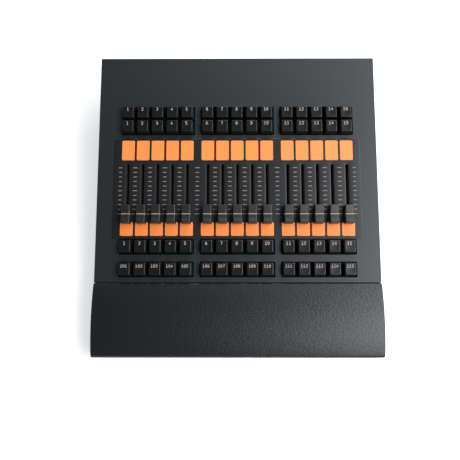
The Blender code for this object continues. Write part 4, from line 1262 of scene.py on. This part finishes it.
def screws():
    """The case's screws: through the side walls, the connectors' flanges and the floor."""
    mesh = screw_mesh()
    up, right, back = Vector((0.0, 0.0, 1.0)), Vector((1.0, 0.0, 0.0)), Vector((0.0, 1.0, 0.0))
    places = []
    for sign in (-1, 1):
        for v in (PANEL[0].y + SIDE_SCREW_INSET, middle(PANEL).y, PANEL[1].y - SIDE_SCREW_INSET):
            seat = SLOPE @ Vector((sign * PANEL[1].x, v, PANEL_TOP - SIDE_SCREW_DROP))
            places.append(facing(seat, sign * right, up))
    for node, marks in CONNECTOR_SCREWS.items():
        centre, face = middle(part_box(node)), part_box(node)[1].y
        places += [facing((centre.x + x, face, centre.z + z), back, up) for x, z in marks]
    floor_marks = [(boss, middle(PALM).y, FLOOR_BOTTOM) for boss in palm_bays()[1]]
    low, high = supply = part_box("power_supply")
    for x in (low.x + SUPPLY_SCREW_INSET, high.x - SUPPLY_SCREW_INSET):
        floor_marks.append((x, middle(supply).y, FLOOR_BOTTOM))
    for node in FEET:
        floor_marks.append((*middle(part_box(node)).xy, FOOT_RECESS))
    places += [facing(mark, -up, back) for mark in floor_marks]
    for number, place in enumerate(places):
        add(f"screw_{number + 1:02d}", mesh, place=place, even_faces=False)


def dress_cad_nodes():
    """Nodes whose CAD shape is right keep it and get a finish."""
    for node, finish in (("main_board", "board"), ("power_supply", "zinc")):
        materials = frame["nodes"][node].data.materials
        materials.clear()
        materials.append(FINISHES[finish])


def stage():
    """A pale floor that stays white to the camera, also far off, and keeps a soft shadow."""
    bpy.ops.mesh.primitive_plane_add(size=STAGE_SIZE, location=(0.0, 0.0, -STAGE_DROP))
    floor = bpy.context.object
    floor.name = "floor"
    pale = Finish("floor_paper", Base_Color=(0.72, 0.72, 0.72), Roughness=0.9, Specular_IOR_Level=0.1)
    seen = pale.node("ShaderNodeLightPath", output="Is Camera Ray")
    reach = pale.node("ShaderNodeVectorMath", {"operation": "LENGTH"}, {0: pale.place()}, "Value")
    paper = pale.blend(reach * 0.5 - 0.3, (0.55, 0.55, 0.55), (1.0, 1.0, 1.0))
    glow = pale.blend(seen, (0.0, 0.0, 0.0), paper)
    floor.data.materials.append(pale.show(Emission_Color=glow, Emission_Strength=1.0))


def world_light():
    """An even studio sky, paler towards the horizon, and white to the camera."""
    sky = Finish("studio", bpy.data.worlds, "Background", Strength=1.0)
    bpy.context.scene.world = sky.block
    place = sky.node("ShaderNodeTexCoord", output="Generated")
    height = sky.node("ShaderNodeSeparateXYZ", None, {0: place}, "Z")
    ramp = sky.node("ShaderNodeValToRGB", None, {"Fac": height})
    for stop, (position, colour) in zip(ramp.socket.node.color_ramp.elements, SKY_STOPS):
        stop.position = position
        stop.color = (*colour, 1.0)
    seen = sky.node("ShaderNodeLightPath", output="Is Camera Ray")
    sky.show(Color=sky.blend(seen, ramp, (1.0, 1.0, 1.0)))


def lamp(name, place, size, power):
    """A rectangular lamp that points at the object."""
    data = bpy.data.lights.new(name, "AREA")
    data.shape = "RECTANGLE"
    data.size, data.size_y = size
    data.energy = power
    data.color = LAMP_COLOUR
    made = link(name, data)
    made.location = place
    made.rotation_euler = (Vector(LAMP_AIM) - made.location).to_track_quat("-Z", "Y").to_euler()


def camera():
    data = bpy.data.cameras.new("camera")
    data.sensor_width = SENSOR
    data.lens = FOCAL_PIXELS / PHOTO_PIXELS * SENSOR
    made = link("camera", data)
    about_x, about_y, about_z = CAMERA_TURNS
    turn = Matrix.Rotation(about_z, 4, "Z") @ Matrix.Rotation(about_y, 4, "Y") @ Matrix.Rotation(about_x, 4, "X")
    view = Matrix.Translation(CAMERA_OFFSET) @ turn
    made.matrix_world = on_deck(0.0, ZERO_V) @ view.inverted()
    bpy.context.scene.camera = made


def main():
    top_panel()
    fader_plate()
    label_strip("upper_label_strip", UPPER_STRIP)
    label_strip("lower_label_strip", LOWER_STRIP)
    scale_marks()
    keys()
    upper_switches()
    fader_caps()
    palm_rest()
    groove_seal()
    palm_ribs()
    base_tray()
    panel_underside()
    power_inlet()
    data_socket()
    feet()
    screws()
    dress_cad_nodes()
    stage()
    world_light()
    for name, values in LAMPS.items():
        lamp(name, *values)
    camera()


main()
bpy.context.scene.view_settings.view_transform = "Standard"
